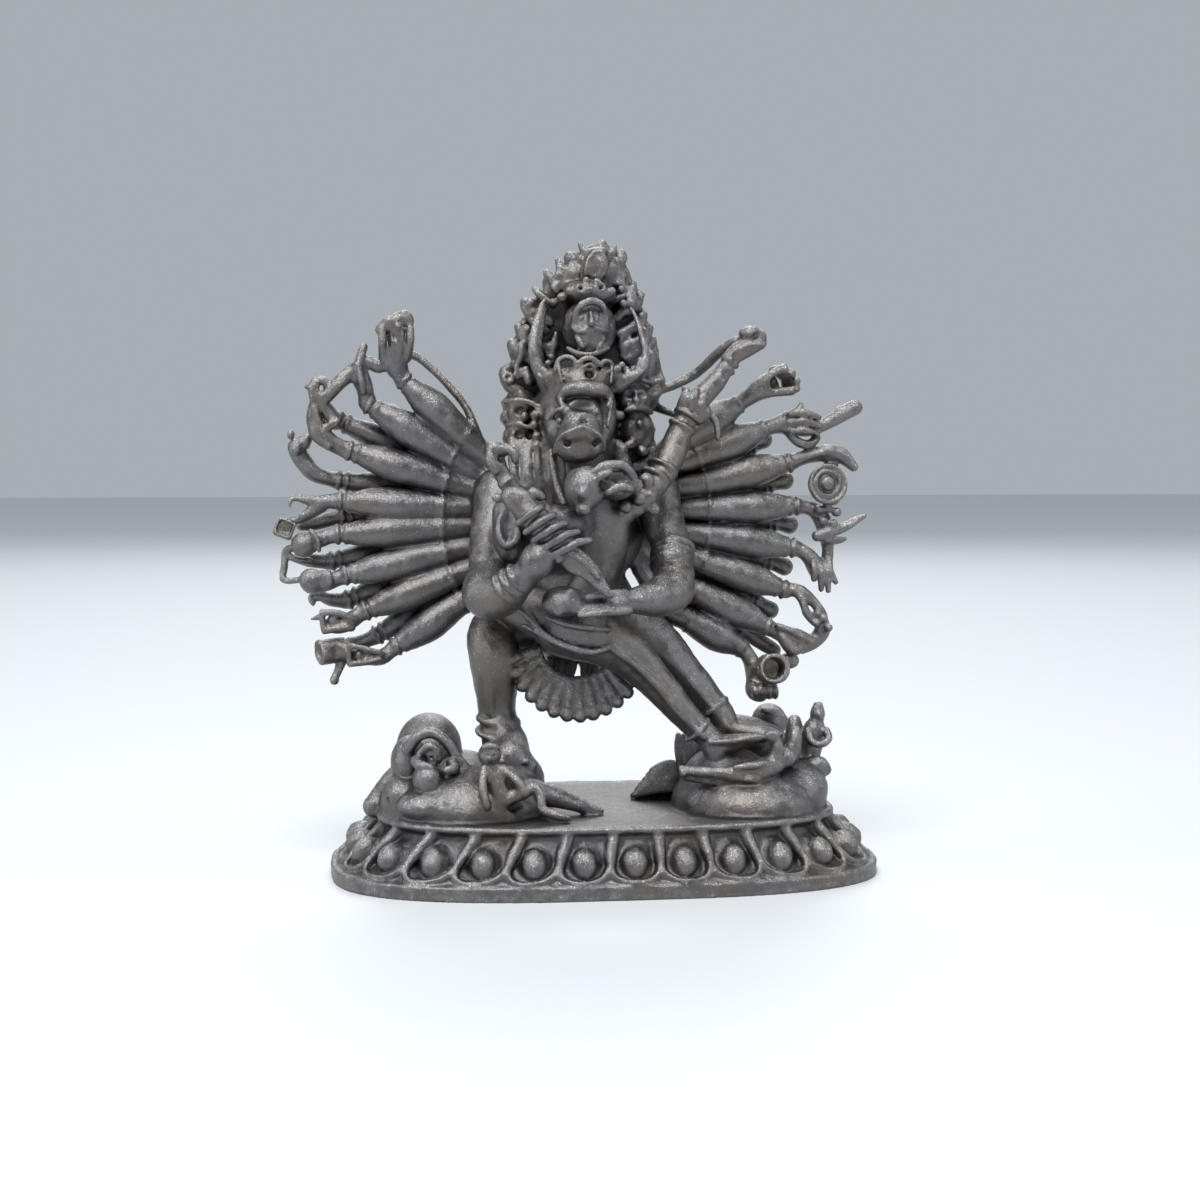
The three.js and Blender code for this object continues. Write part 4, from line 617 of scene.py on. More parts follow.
def main_arms(clay):
    """The two large arms that come forward round the consort, with what they hold."""
    clay.rod([(-8.3, 0.0, 29.4, 1.95), (-9.1, -1.6, 26.6, 1.6), (-9.5, -4.0, 24.0, 1.5), (-9.6, -6.2, 22.5, 1.95),
              (-8.7, -8.0, 22.5, 1.6), (-7.6, -9.4, 23.6, 1.2), (-6.6, -10.4, 24.8, 1.0)], 0.3)
    clay.ball((-9.75, -6.4, 22.5), (1.85, 1.8, 1.75), blend=0.4)
    for rib, x in enumerate((-8.35, -7.9, -7.45)):
        clay.ring((x - 0.15, -8.7 - 0.4 * rib, 22.95 + 0.42 * rib), (0.62, -0.45, 0.62), 1.28 - 0.06 * rib, 0.2, 0.06)
    clay.ball((-6.3, -10.6, 25.3), (1.28, 1.25, 1.55), (0, 30, 0), 0.3)
    clay.rod([(-8.3, -10.4, 29.9, 0.75), (-7.2, -10.7, 28.9, 0.95), (-5.6, -10.8, 27.4, 1.0), (-4.3, -10.9, 26.2, 0.75)], 0.25)
    clay.ball((-7.6, -10.6, 29.9), (1.05, 0.85, 0.62), (0, 25, 0), 0.12)
    clay.ball((-6.4, -10.4, 30.1), (0.7, 0.5, 0.42), (0, 35, 0), 0.1)
    clay.ball((-9.2, -9.8, 29.8), (0.5, 0.45, 0.4), blend=0.1)
    for finger in range(5):
        x = -7.0 + finger * 0.72
        z = 28.7 - finger * 0.62
        reach = 0.9 + 0.16 * finger
        clay.rod([(x - reach, -11.3, z - 0.8, 0.26), (x - 0.2, -12.0, z - 0.1, 0.3), (x + 0.5, -11.9, z + 0.3, 0.29),
                  (x + reach, -11.2, z + 0.45, 0.25)], 0.06)
    clay.rod([(-4.9, -11.2, 26.2, 0.6), (-3.7, -11.2, 25.2, 0.95), (-2.5, -11.1, 24.3, 0.75), (-1.4, -10.8, 23.0, 0.45),
              (-0.9, -10.6, 22.5, 0.3)], 0.12, ((0, 1, 0), 0.4))
    clay.rod([(-4.9, -11.5, 25.2, 0.26), (-4.1, -11.6, 25.75, 0.24), (-3.0, -11.6, 25.0, 0.22),
              (-1.9, -11.4, 23.9, 0.2)], 0.06)
    clay.rod([(4.1, 0.0, 29.6, 1.9), (4.7, -2.0, 27.0, 1.6), (4.9, -4.2, 24.8, 1.5), (4.4, -6.4, 22.7, 1.7),
              (2.9, -7.8, 22.1, 1.45), (1.3, -8.7, 22.0, 1.0)], 0.3)
    clay.rod([(4.6, -6.2, 22.5, 1.5), (3.0, -8.0, 22.2, 1.25), (1.4, -8.9, 22.0, 0.9)], 0.3)
    for share in (0.0, 0.5, 1.0):
        clay.ring((5.0 - 0.2 * share, -3.4 - 0.8 * share, 25.4 - 0.9 * share), (0, -0.65, -0.76), 1.55, 0.24, 0.1)
    for petal in range(6):
        angle = petal * math.pi / 3
        clay.ball((3.2 + 0.55 * math.cos(angle), -8.85, 22.4 + 0.42 * math.sin(angle)), (0.3, 0.3, 0.26), blend=0.06)
    clay.ball((3.2, -9.0, 22.4), (0.26, 0.3, 0.24), blend=0.06)
    clay.rod([(2.0, -8.4, 22.1, 0.95), (0.4, -9.2, 21.95, 0.85), (-0.6, -9.5, 21.8, 0.8)], 0.2, ((0, 0, 1), 0.8))
    for finger in range(4):
        z = 21.25 + 0.36 * finger
        y = -10.3 + 0.34 * finger
        length = (3.7, 4.1, 4.0, 3.4)[finger]
        clay.rod([(0.6, y + 0.5, z + 0.05, 0.34), (-1.2, y + 0.1, z - 0.02, 0.3), (0.5 - length, y, z - 0.2, 0.22)], 0.06)
    clay.rod([(0.4, -9.3, 22.5, 0.42), (-1.2, -9.9, 22.55, 0.34), (-2.6, -10.2, 22.4, 0.26)], 0.06)
    clay.ball((-4.2, -8.9, 22.0), (1.7, 1.6, 1.15), blend=0.3)
    clay.ball((-3.8, -10.0, 22.7), (0.5, 0.45, 0.45), blend=0.15)
    clay.ball((-4.7, -9.9, 21.3), (0.36, 0.35, 0.33), blend=0.1)


def consort(clay):
    """The consort, seen from the back, pressed to the front of the large figure."""
    clay.ball((-2.7, -5.0, 19.8), (3.3, 2.6, 2.6), blend=0.4)
    clay.rod([(-2.3, -4.9, 20.4, 2.25), (-0.9, -5.4, 24.4, 1.75), (-0.8, -6.0, 27.4, 1.9), (-1.4, -7.0, 29.4, 1.1)], 0.35,
             ((0, 1, 0), 0.85))
    clay.ball((-2.55, -8.4, 30.5), (1.6, 1.8, 1.75), blend=0.2)
    clay.ball((-0.3, -8.0, 30.9), (1.7, 1.5, 1.35), (0, 15, 0), 0.2)
    clay.rod([(-2.2, -9.6, 31.5, 0.3), (-1.2, -9.8, 32.15, 0.36), (0.0, -9.6, 32.2, 0.36), (0.9, -9.1, 31.5, 0.34),
              (1.2, -8.7, 30.7, 0.3)], 0.08)
    clay.rod([(-1.9, -9.9, 31.1, 0.24), (-1.0, -10.0, 31.6, 0.26), (-0.2, -9.9, 31.3, 0.24)], 0.06)
    clay.ball((-0.2, -9.7, 31.2), (0.9, 0.7, 0.5), (0, 20, 0), 0.1, cut=True)
    clay.rod([(-1.0, -9.8, 30.2, 0.32), (-0.1, -9.9, 30.6, 0.36), (0.7, -9.5, 30.5, 0.36)], 0.08)
    clay.ball((-1.2, -9.6, 30.6), (0.45, 0.5, 0.35), cut=True, blend=0.08)
    clay.ball((-2.9, -10.0, 30.1), (0.42, 0.35, 0.4), blend=0.1)
    clay.ball((-2.8, -9.4, 28.9), (0.55, 0.5, 0.5), blend=0.12)
    for x, y, z, radius in ((1.4, -7.8, 30.6, 0.6), (1.7, -7.6, 29.6, 0.55), (2.4, -6.7, 31.0, 0.6), (2.6, -6.5, 29.8, 0.62),
                            (1.7, -6.9, 28.8, 0.5), (3.0, -6.2, 28.8, 0.5), (0.6, -7.9, 29.0, 0.5)):
        clay.ball((x, y, z), radius, blend=0.12)
    clay.ball((2.0, -7.5, 30.3), (0.3, 0.5, 0.3), cut=True, blend=0.08)
    clay.rod([(-0.4, -6.4, 28.0, 1.1), (1.9, -6.0, 29.6, 1.1), (3.6, -4.8, 31.0, 1.05), (4.9, -3.7, 33.2, 1.12),
              (5.9, -3.2, 35.4, 0.92), (7.1, -3.0, 37.2, 0.9), (8.4, -3.0, 38.6, 0.82), (9.5, -3.0, 40.1, 0.58)], 0.25)
    clay.ring((3.3, -4.9, 31.2), (0.5, 0.35, 0.8), 1.12, 0.22, 0.08)
    clay.ring((4.0, -4.4, 31.9), (0.5, 0.3, 0.8), 1.15, 0.2, 0.08)
    clay.ring((5.7, -3.3, 35.1), (0.5, 0.1, 0.86), 0.98, 0.2, 0.08)
    clay.ring((6.2, -3.2, 35.9), (0.5, 0.1, 0.86), 1.02, 0.22, 0.08)
    for spread, reach in ((-1.15, 1.6), (-0.45, 1.9), (0.45, 1.5), (1.15, 0.9)):
        foot = (6.5 + spread * 0.72, -3.9 + 0.35 * abs(spread), 36.3 - spread * 0.4)
        tip = (foot[0] + 0.35 * reach + 0.1 * spread, foot[1] - 0.1, foot[2] + 0.85 * reach)
        clay.rod([(*foot, 0.42), ((foot[0] + tip[0]) / 2, foot[1] - 0.25, (foot[2] + tip[2]) / 2, 0.4), (*tip, 0.16)], 0.08)
    clay.rod([(6.2, -3.6, 36.2, 0.4), (6.0, -3.5, 37.3, 0.34), (5.85, -3.3, 38.1, 0.22)], 0.08)
    clay.rod([(7.9, -3.2, 36.2, 0.3), (8.5, -3.0, 35.3, 0.26), (8.6, -2.9, 34.2, 0.2)], 0.08)
    clay.ring((9.25, -3.0, 39.6), (0.55, 0, 0.83), 0.6, 0.2, 0.06)
    clay.ring((9.55, -3.0, 40.1), (0.55, 0, 0.83), 0.6, 0.2, 0.06)
    clay.rod([(9.6, -3.0, 40.4, 0.66), (10.3, -3.1, 41.0, 0.78), (11.2, -3.1, 41.4, 0.72), (11.9, -3.1, 41.6, 0.55)], 0.2)
    clay.rod([(9.8, -3.6, 40.9, 0.22), (10.9, -3.8, 41.35, 0.2), (12.0, -3.6, 41.5, 0.22)], 0.06)
    clay.ball((11.0, -3.2, 42.4), (0.85, 0.8, 0.55), (0, -12, 0), 0.1)
    clay.ball((11.9, -3.0, 42.1), (0.55, 0.6, 0.62), blend=0.1)
    clay.ball((11.5, -3.7, 42.1), (0.35, 0.35, 0.25), cut=True, blend=0.06)
    clay.rod([(-2.0, -6.0, 27.8, 1.0), (-5.2, -6.4, 28.4, 0.95), (-7.4, -6.8, 29.9, 0.75), (-8.6, -6.9, 31.4, 0.62),
              (-9.1, -7.0, 32.6, 0.66)], 0.25)
    clay.ring((-8.3, -6.9, 31.0), (-0.6, 0, 0.8), 0.66, 0.16, 0.06)
    clay.ball((-9.0, -7.1, 33.4), (0.95, 0.7, 0.55), (0, 18, 0), 0.12)
    clay.rod([(-8.4, -7.3, 33.5, 0.34), (-7.8, -7.5, 33.1, 0.32), (-7.7, -7.5, 32.5, 0.26)], 0.06)
    clay.rod([(-9.6, -7.4, 33.2, 0.32), (-9.6, -7.6, 32.4, 0.3), (-9.2, -7.6, 31.6, 0.26)], 0.06)
    clay.ball((-8.6, -7.5, 32.6), (0.5, 0.5, 0.35), (0, 20, 0), 0.08, cut=True)
    loop = [(-8.0, -5.0, 29.0, 0.26), (-8.7, -5.3, 28.0, 0.28), (-8.7, -5.6, 26.8, 0.28), (-8.2, -5.8, 26.0, 0.28),
            (-7.5, -5.8, 26.5, 0.3), (-7.4, -5.5, 27.6, 0.3), (-7.7, -5.2, 28.6, 0.26)]
    clay.rod(loop, 0.08)
    clay.rod([(-8.2, -4.2, 28.6, 1.0), (-8.1, -4.6, 26.8, 1.05), (-7.9, -4.6, 25.6, 0.9)], 0.25)
    clay.rod([(-3.4, -4.6, 20.2, 2.2), (-6.8, -4.2, 21.2, 1.7), (-8.2, -1.0, 21.6, 1.5)], 0.3)
    clay.rod([(-7.6, -5.6, 21.6, 0.28), (-6.5, -6.3, 20.6, 0.28), (-5.4, -6.9, 19.3, 0.28), (-3.6, -7.5, 18.4, 0.26),
              (-1.6, -7.3, 18.0, 0.26), (0.6, -6.2, 18.8, 0.28)], 0.06)
    clay.rod([(-5.3, -7.0, 20.7, 0.24), (-4.0, -7.5, 20.2, 0.24), (-2.4, -7.7, 19.9, 0.22), (-0.6, -7.2, 19.7, 0.22)], 0.06)
    for bead in range(9):
        share = bead / 8
        clay.ball((-6.9 + 2.6 * share, -6.5 - 0.6 * share, 20.0 - 1.7 * share), 0.2, blend=0.05)


def legs(clay):
    """Legs and feet of both figures: the bent one at the left, the stretched pair at the right."""
    clay.rod([(-6.0, 0.4, 20.6, 2.8), (-8.6, -1.4, 19.0, 2.2), (-8.9, -2.2, 17.4, 1.95), (-8.7, -1.6, 15.0, 1.72),
              (-8.6, -1.3, 12.9, 1.45), (-8.3, -1.8, 11.2, 1.6), (-7.9, -2.6, 9.2, 1.9)], 0.35)
    clay.rod([(-9.3, -3.9, 17.9, 0.3), (-9.3, -3.4, 15.4, 0.3), (-9.2, -2.7, 12.8, 0.3)], 0.3)
    for bump in range(6):
        clay.ball((-10.3 + 0.08 * bump, -2.0, 17.9 - 0.75 * bump), (0.3, 0.3, 0.26), blend=0.12)
    clay.ring((-8.5, -1.5, 12.2), (0.1, -0.15, 1), 1.5, 0.26, 0.1)
    clay.ring((-8.4, -1.7, 11.2), (0.1, -0.2, 1), 1.75, 0.24, 0.12)
    clay.rod([(-7.9, -2.2, 10.2, 1.7), (-7.8, -4.2, 9.7, 1.4)], 0.3)
    for toe in range(5):
        clay.rod([(-8.8 + 0.5 * toe, -4.4, 9.7, 0.36), (-8.8 + 0.52 * toe, -5.3, 9.4, 0.3)], 0.08)
    clay.rod([(0.4, -0.2, 20.0, 2.85), (3.7, -0.6, 18.0, 2.25), (5.9, -0.9, 15.8, 1.8), (7.9, -1.1, 13.5, 1.5),
              (9.2, -1.5, 11.8, 1.35), (9.4, -1.7, 9.4, 1.4)], 0.35)
    clay.rod([(4.6, -2.6, 17.4, 0.26), (6.7, -2.6, 15.0, 0.26), (8.7, -2.6, 12.6, 0.26), (9.6, -2.9, 11.4, 0.26)], 0.25)
    clay.rod([(8.8, -1.6, 11.2, 1.0), (11.8, -2.6, 10.9, 0.8), (13.2, -3.0, 10.9, 0.5)], 0.25)
    for toe in range(4):
        clay.rod([(12.4, -3.3 + 0.45 * toe, 10.9, 0.34), (13.6, -3.6 + 0.5 * toe, 10.9, 0.26)], 0.08)
    clay.rod([(-1.6, -4.8, 19.4, 2.4), (1.5, -4.4, 17.4, 1.72), (3.7, -4.1, 15.1, 1.38), (6.4, -4.0, 12.1, 1.05),
              (7.9, -4.2, 10.7, 0.95), (8.3, -4.5, 9.6, 0.95)], 0.3)
    clay.rod([(-0.2, -6.7, 18.2, 0.3), (2.6, -5.8, 16.0, 0.28), (5.2, -5.1, 13.0, 0.26), (7.2, -5.1, 11.0, 0.26)], 0.25)
    clay.rod([(7.9, -4.4, 10.2, 0.85), (9.6, -5.0, 10.5, 0.72), (11.2, -5.5, 10.9, 0.42)], 0.2)
    clay.rod([(7.6, -5.1, 10.6, 0.22), (9.2, -5.7, 10.75, 0.22), (11.3, -5.9, 11.1, 0.24)], 0.08)
    for toe in range(4):
        clay.rod([(10.8, -5.7 + 0.3 * toe, 10.8, 0.28), (11.7, -5.9 + 0.36 * toe, 11.05, 0.22)], 0.06)
    clay.ring((6.9, -4.1, 11.5), (0.7, 0, -0.7), 1.1, 0.18, 0.08)
    clay.ring((8.5, -1.3, 12.7), (0.6, -0.15, -0.8), 1.45, 0.2, 0.1)


def garland(clay):
    """U-shaped garland of small heads, each with a brow, and the cloth ends behind it."""
    rim = []
    for step in range(25):
        angle = math.radians(GARLAND_ARC[0] + (GARLAND_ARC[1] - GARLAND_ARC[0]) * step / 24)
        rim.append((GARLAND_CENTRE[0] + GARLAND_INNER[0] * math.cos(angle), -2.7,
                    GARLAND_CENTRE[1] + GARLAND_INNER[1] * math.sin(angle), 0.3))
    clay.rod(rim, 0.1, steps=1)
    for head in range(GARLAND_HEADS):
        angle = math.radians(GARLAND_ARC[0] + (GARLAND_ARC[1] - GARLAND_ARC[0]) * head / (GARLAND_HEADS - 1))
        at = lambda share, depth, radius: (
            GARLAND_CENTRE[0] + (GARLAND_INNER[0] + (GARLAND_OUTER[0] - GARLAND_INNER[0]) * share) * math.cos(angle),
            depth,
            GARLAND_CENTRE[1] + (GARLAND_INNER[1] + (GARLAND_OUTER[1] - GARLAND_INNER[1]) * share) * math.sin(angle),
            radius,
        )
        clay.rod([at(0.0, -2.8, 0.4), at(0.45, -3.0, 0.45), at(0.8, -3.1, 0.55), at(1.0, -3.1, 0.52)], 0.12)
        clay.ball(at(1.0, -3.3, 0)[:3], 0.5, blend=0.08)
        clay.ball(at(0.72, -3.62, 0)[:3], 0.2, blend=0.06)
    clay.ball((-3.2, 1.5, 16.9), (1.3, 1.0, 2.0), blend=0.3)
    clay.ball((-0.7, 1.5, 17.0), (1.2, 1.0, 1.9), blend=0.3)
    for fold in range(5):
        x = -4.2 + 0.9 * fold
        clay.rod([(x, 0.7, 18.4, 0.34), (x + 0.1, 0.6, 16.6, 0.36), (x, 0.9, 15.4, 0.28)], 0.1)


def flame_hair(clay):
    """Upswept hair behind the heads: a plate with a flame edge, and a curled lock up to each of its tips."""
    clay.plate([*HAIR_RIGHT, *reversed(HAIR_LEFT)], HAIR_FRONT, HAIR_BACK, 0.35)
    clay.ball((-1.4, 1.9, 40.0), (4.6, 1.7, 8.0), (0, 4, 0), 0.4)
    for index, (x, z) in enumerate(LOCK_TIPS):
        inward = 1 if x < -1 else -1
        sway = 0.25 * math.sin(1.9 * index)
        root = (x + inward * 2.1, -0.3, z - 1.7)
        middle = (x + inward * (0.8 + sway), -0.35, z - 1.0)
        clay.rod([(*root, 0.42), (*middle, 0.46), (x + inward * 0.15, 0.3, z - 0.1, 0.3)], 0.16)
        clay.rod([(x + inward * 2.3, -0.4, z - 0.5, 0.3), (x + inward * (1.3 - sway), -0.5, z + 0.2, 0.34),
                  (x + inward * 0.9, -0.1, z + 0.8, 0.24)], 0.14)
        clay.ball((x + inward * (0.7 + sway), -0.55, z - 0.35), (0.3, 0.35, 0.36), blend=0.12)
        clay.rod([(x + inward * 1.6, 2.3, z - 1.6, 0.42), (x + inward * 0.3, 2.2, z, 0.3)], 0.2)
    for lock in range(9):
        x = -4.6 + 0.8 * lock
        clay.rod([(x * 0.9 - 0.2, 3.1, 34.0, 0.4), (x, 3.4, 40.0, 0.42), (-0.9 + 0.42 * (x + 1.0), 2.4, 46.6, 0.3)], 0.2)


def buffalo_head(clay):
    """Main head: forehead, bright brow, eye sockets, muzzle with a raised upper edge and nostrils, and horns."""
    clay.ball((-2.2, -1.6, 37.4), (2.7, 2.9, 3.0), blend=0.4)
    clay.ball((-2.1, -3.1, 38.6), (2.1, 1.5, 1.0), blend=0.3)
    clay.rod([(-2.2, -3.2, 36.3, 1.8), (-2.45, -4.9, 35.2, 1.65), (-2.65, -6.0, 34.1, 1.6)], 0.35, ((0, 0.5, 0.86), 0.85))
    for sign in (-1, 1):
        clay.rod([(-2.2 + sign * 1.9, -2.3, 36.9, 0.95), (-2.3 + sign * 1.9, -3.6, 35.3, 0.85),
                  (-2.5 + sign * 1.4, -4.8, 34.2, 0.8)], 0.35)
    clay.rod([(-3.95, -4.1, 37.3, 0.38), (-3.4, -4.7, 37.85, 0.52), (-2.6, -5.0, 38.0, 0.58), (-1.6, -5.0, 38.0, 0.58),
              (-0.7, -4.7, 37.85, 0.52), (-0.1, -4.1, 37.4, 0.38)], 0.25)
    clay.ball((-2.1, -5.55, 36.7), (1.55, 0.7, 0.6), (12, 0, 0), 0.2, cut=True)
    clay.line([(-3.95, -4.4, 37.3), (-3.9, -4.7, 36.9), (-3.6, -4.95, 36.55)], 0.24, 0.12)
    clay.line([(-0.1, -4.4, 37.4), (-0.1, -4.7, 37.0), (-0.3, -4.9, 36.7)], 0.22, 0.12)
    clay.ball((-2.75, -6.2, 33.7), (1.9, 1.1, 1.45), blend=0.3)
    clay.ball((-2.85, -8.15, 33.2), (1.9, 1.15, 1.4), (-8, 0, 0), 0.15, cut=True)
    clay.line([(-4.6, -6.3, 33.1), (-4.4, -6.8, 34.0), (-3.85, -7.15, 34.55), (-3.1, -7.35, 34.9), (-2.55, -7.4, 35.05),
               (-1.9, -7.3, 34.8), (-1.3, -7.15, 34.4), (-0.95, -6.8, 33.95), (-0.85, -6.4, 33.2)], 0.21, 0.14)
    for x in (-3.7, -1.55):
        clay.ball((x, -7.0, 33.8), (0.3, 0.5, 0.26), blend=0.1, cut=True)
    clay.line([(-3.1, -6.2, 35.5), (-2.7, -6.45, 35.95), (-2.15, -6.45, 35.95), (-1.85, -6.2, 35.55)], 0.2, 0.12)
    clay.ball((-2.45, -6.75, 35.5), (0.32, 0.3, 0.18), blend=0.08, cut=True)
    clay.ball((-4.05, -5.0, 35.55), (0.52, 0.6, 0.46), blend=0.12, cut=True)
    clay.ball((-4.0, -4.75, 35.5), (0.34, 0.34, 0.3), blend=0.08)
    clay.ball((-1.05, -5.4, 35.6), (0.42, 0.6, 0.5), blend=0.12, cut=True)
    clay.ball((-1.1, -4.95, 35.55), (0.32, 0.32, 0.3), blend=0.08)
    clay.line([(-4.6, -4.4, 35.8), (-4.3, -4.9, 36.3), (-3.8, -5.2, 36.45)], 0.19, 0.1)
    clay.line([(-0.1, -4.8, 36.8), (-0.2, -5.0, 35.9), (-0.4, -5.1, 35.1)], 0.15, 0.1)
    clay.rod([(-4.6, -1.8, 38.0, 0.5), (-5.15, -2.2, 39.2, 0.6), (-5.6, -2.2, 40.3, 0.52), (-5.75, -2.1, 41.5, 0.42),
              (-5.5, -1.9, 43.0, 0.34), (-5.05, -1.6, 44.4, 0.25), (-4.6, -1.2, 45.1, 0.16)], 0.16)
    clay.line([(-5.0, -2.0, 40.2), (-5.2, -2.0, 41.5), (-5.05, -1.8, 43.0), (-4.75, -1.5, 44.2)], 0.19, 0.1)
    clay.rod([(0.8, -2.2, 38.2, 0.55), (1.7, -2.4, 38.85, 0.5), (2.5, -2.3, 39.3, 0.45), (3.0, -2.1, 40.2, 0.4),
              (2.95, -2.0, 41.3, 0.34), (2.65, -1.8, 42.5, 0.28), (2.3, -1.6, 43.7, 0.2), (1.95, -1.3, 44.3, 0.15)], 0.16)
    clay.rod([(2.4, -2.3, 39.4, 0.3), (2.55, -2.4, 40.3, 0.24)], 0.12)
    clay.rod([(-4.5, -2.6, 38.2, 0.34), (-4.75, -3.0, 38.9, 0.22)], 0.12)


def skull_crown(clay):
    """Crown across the main head's forehead: three arches with hollows, which stand for small skulls."""
    band = [(-4.7, -2.4, 39.0), (-3.3, -3.5, 39.1), (-2.0, -3.8, 39.1), (-0.8, -3.5, 39.1), (0.5, -2.4, 39.0)]
    clay.line(band, 0.62, 0.25)
    clay.line([(-4.2, -3.7, 39.2), (-4.05, -3.9, 40.1), (-3.4, -4.1, 40.45), (-2.8, -4.15, 40.15), (-2.65, -4.1, 39.5)], 0.2)
    clay.line([(-2.45, -4.1, 39.5), (-2.3, -4.2, 40.1), (-1.65, -4.25, 40.35), (-1.05, -4.2, 40.05), (-0.95, -4.1, 39.5)],
              0.21)
    clay.line([(-2.1, -4.3, 39.6), (-1.65, -4.35, 39.9), (-1.25, -4.3, 39.6)], 0.14, 0.06)
    clay.line([(-0.75, -4.0, 39.6), (-0.6, -4.0, 40.05), (-0.15, -3.8, 40.15), (0.15, -3.6, 39.9), (0.2, -3.4, 39.4)], 0.18)
    for x, z, size in ((-3.4, 39.55, 0.42), (-1.7, 39.1, 0.4), (-0.85, 39.5, 0.26), (-0.1, 39.8, 0.15), (-4.55, 39.5, 0.2)):
        clay.ball((x, -4.3, z), (size, 0.5, size * 0.8), blend=0.1, cut=True)
    clay.line([(-3.95, -3.9, 39.9), (-3.95, -4.2, 39.2), (-3.8, -4.4, 38.4)], 0.15)
    clay.line([(0.15, -3.7, 39.6), (0.1, -4.0, 39.0), (0.0, -4.2, 38.4)], 0.14)
    for x, y, z, size in ((-4.7, -3.0, 40.0, 0.28), (-5.0, -2.6, 39.4, 0.3), (0.7, -3.0, 39.6, 0.3), (1.1, -2.6, 39.9, 0.26),
                          (1.5, -2.3, 39.5, 0.3), (-4.4, -2.2, 40.5, 0.26)):
        clay.ball((x, y, z), size, blend=0.12)


def side_heads(clay):
    """Two worn heads at each side of the main one, each with a brow over its eye hollows, among curls."""
    for x, z, radii in ((-6.5, 36.3, (1.35, 1.5, 1.35)), (-6.6, 34.3, (1.25, 1.4, 1.3)), (2.2, 37.2, (1.4, 1.5, 1.4)),
                        (2.6, 34.7, (1.4, 1.4, 1.6))):
        clay.ball((x, -0.7, z), radii, blend=0.3)
    clay.line([(-7.8, -1.0, 37.0), (-7.0, -1.9, 37.15), (-6.1, -2.2, 37.0), (-5.4, -2.3, 36.6)], 0.22, 0.14)
    clay.line([(-7.7, -1.0, 35.2), (-6.9, -1.9, 35.3), (-6.1, -2.1, 35.0)], 0.2, 0.14)
    clay.line([(0.9, -2.2, 38.2), (1.7, -2.3, 38.6), (2.7, -2.0, 38.7), (3.8, -1.0, 38.5)], 0.22, 0.14)
    clay.line([(1.5, -2.1, 36.4), (2.2, -2.2, 36.55), (3.1, -1.7, 36.45), (3.7, -0.9, 36.2)], 0.21, 0.14)
    for x, z, size in ((-6.8, 36.3, 0.5), (-6.0, 36.2, 0.36), (-6.8, 34.5, 0.46), (-6.1, 34.4, 0.36), (1.8, 37.6, 0.42),
                       (2.8, 37.5, 0.4), (2.1, 35.8, 0.44), (3.0, 35.8, 0.34)):
        clay.ball((x, -2.15, z), (size, 0.6, size * 0.8), blend=0.14, cut=True)
    for x, z in ((-6.45, 35.9), (-6.45, 34.0), (2.3, 37.1), (2.55, 35.3)):
        clay.ball((x, -2.1, z), (0.28, 0.4, 0.4), blend=0.14)
    for x, z in ((-7.6, 36.0), (-7.5, 34.5), (-7.6, 38.9), (3.4, 35.1), (3.6, 33.6), (1.1, 34.9), (3.9, 37.8)):
        clay.ring((x, -0.9, z), (0.1, -1, 0.1), 0.34, 0.2, 0.14)
    for x, y, z in ((-5.6, -2.4, 36.0), (-5.7, -2.3, 35.2), (-5.5, -2.5, 34.4), (-5.6, -2.5, 33.6), (-5.9, -2.2, 32.9),
                    (1.9, -2.0, 33.8), (1.2, -2.4, 33.4), (2.9, -1.6, 33.2), (3.2, -1.5, 35.1), (0.9, -2.6, 36.0)):
        clay.ball((x, y, z), (0.46, 0.46, 0.4), blend=0.16)
    clay.line([(-6.8, -0.7, 39.0), (-6.9, -0.7, 39.8), (-6.5, -0.8, 40.6), (-6.55, -0.7, 41.5)], 0.24, 0.14)
    clay.line([(-6.0, -0.8, 38.6), (-6.2, -0.7, 39.6)], 0.26, 0.14)
    clay.line([(3.4, -0.7, 38.9), (3.8, -0.6, 39.8), (3.7, -0.6, 40.8)], 0.24, 0.14)


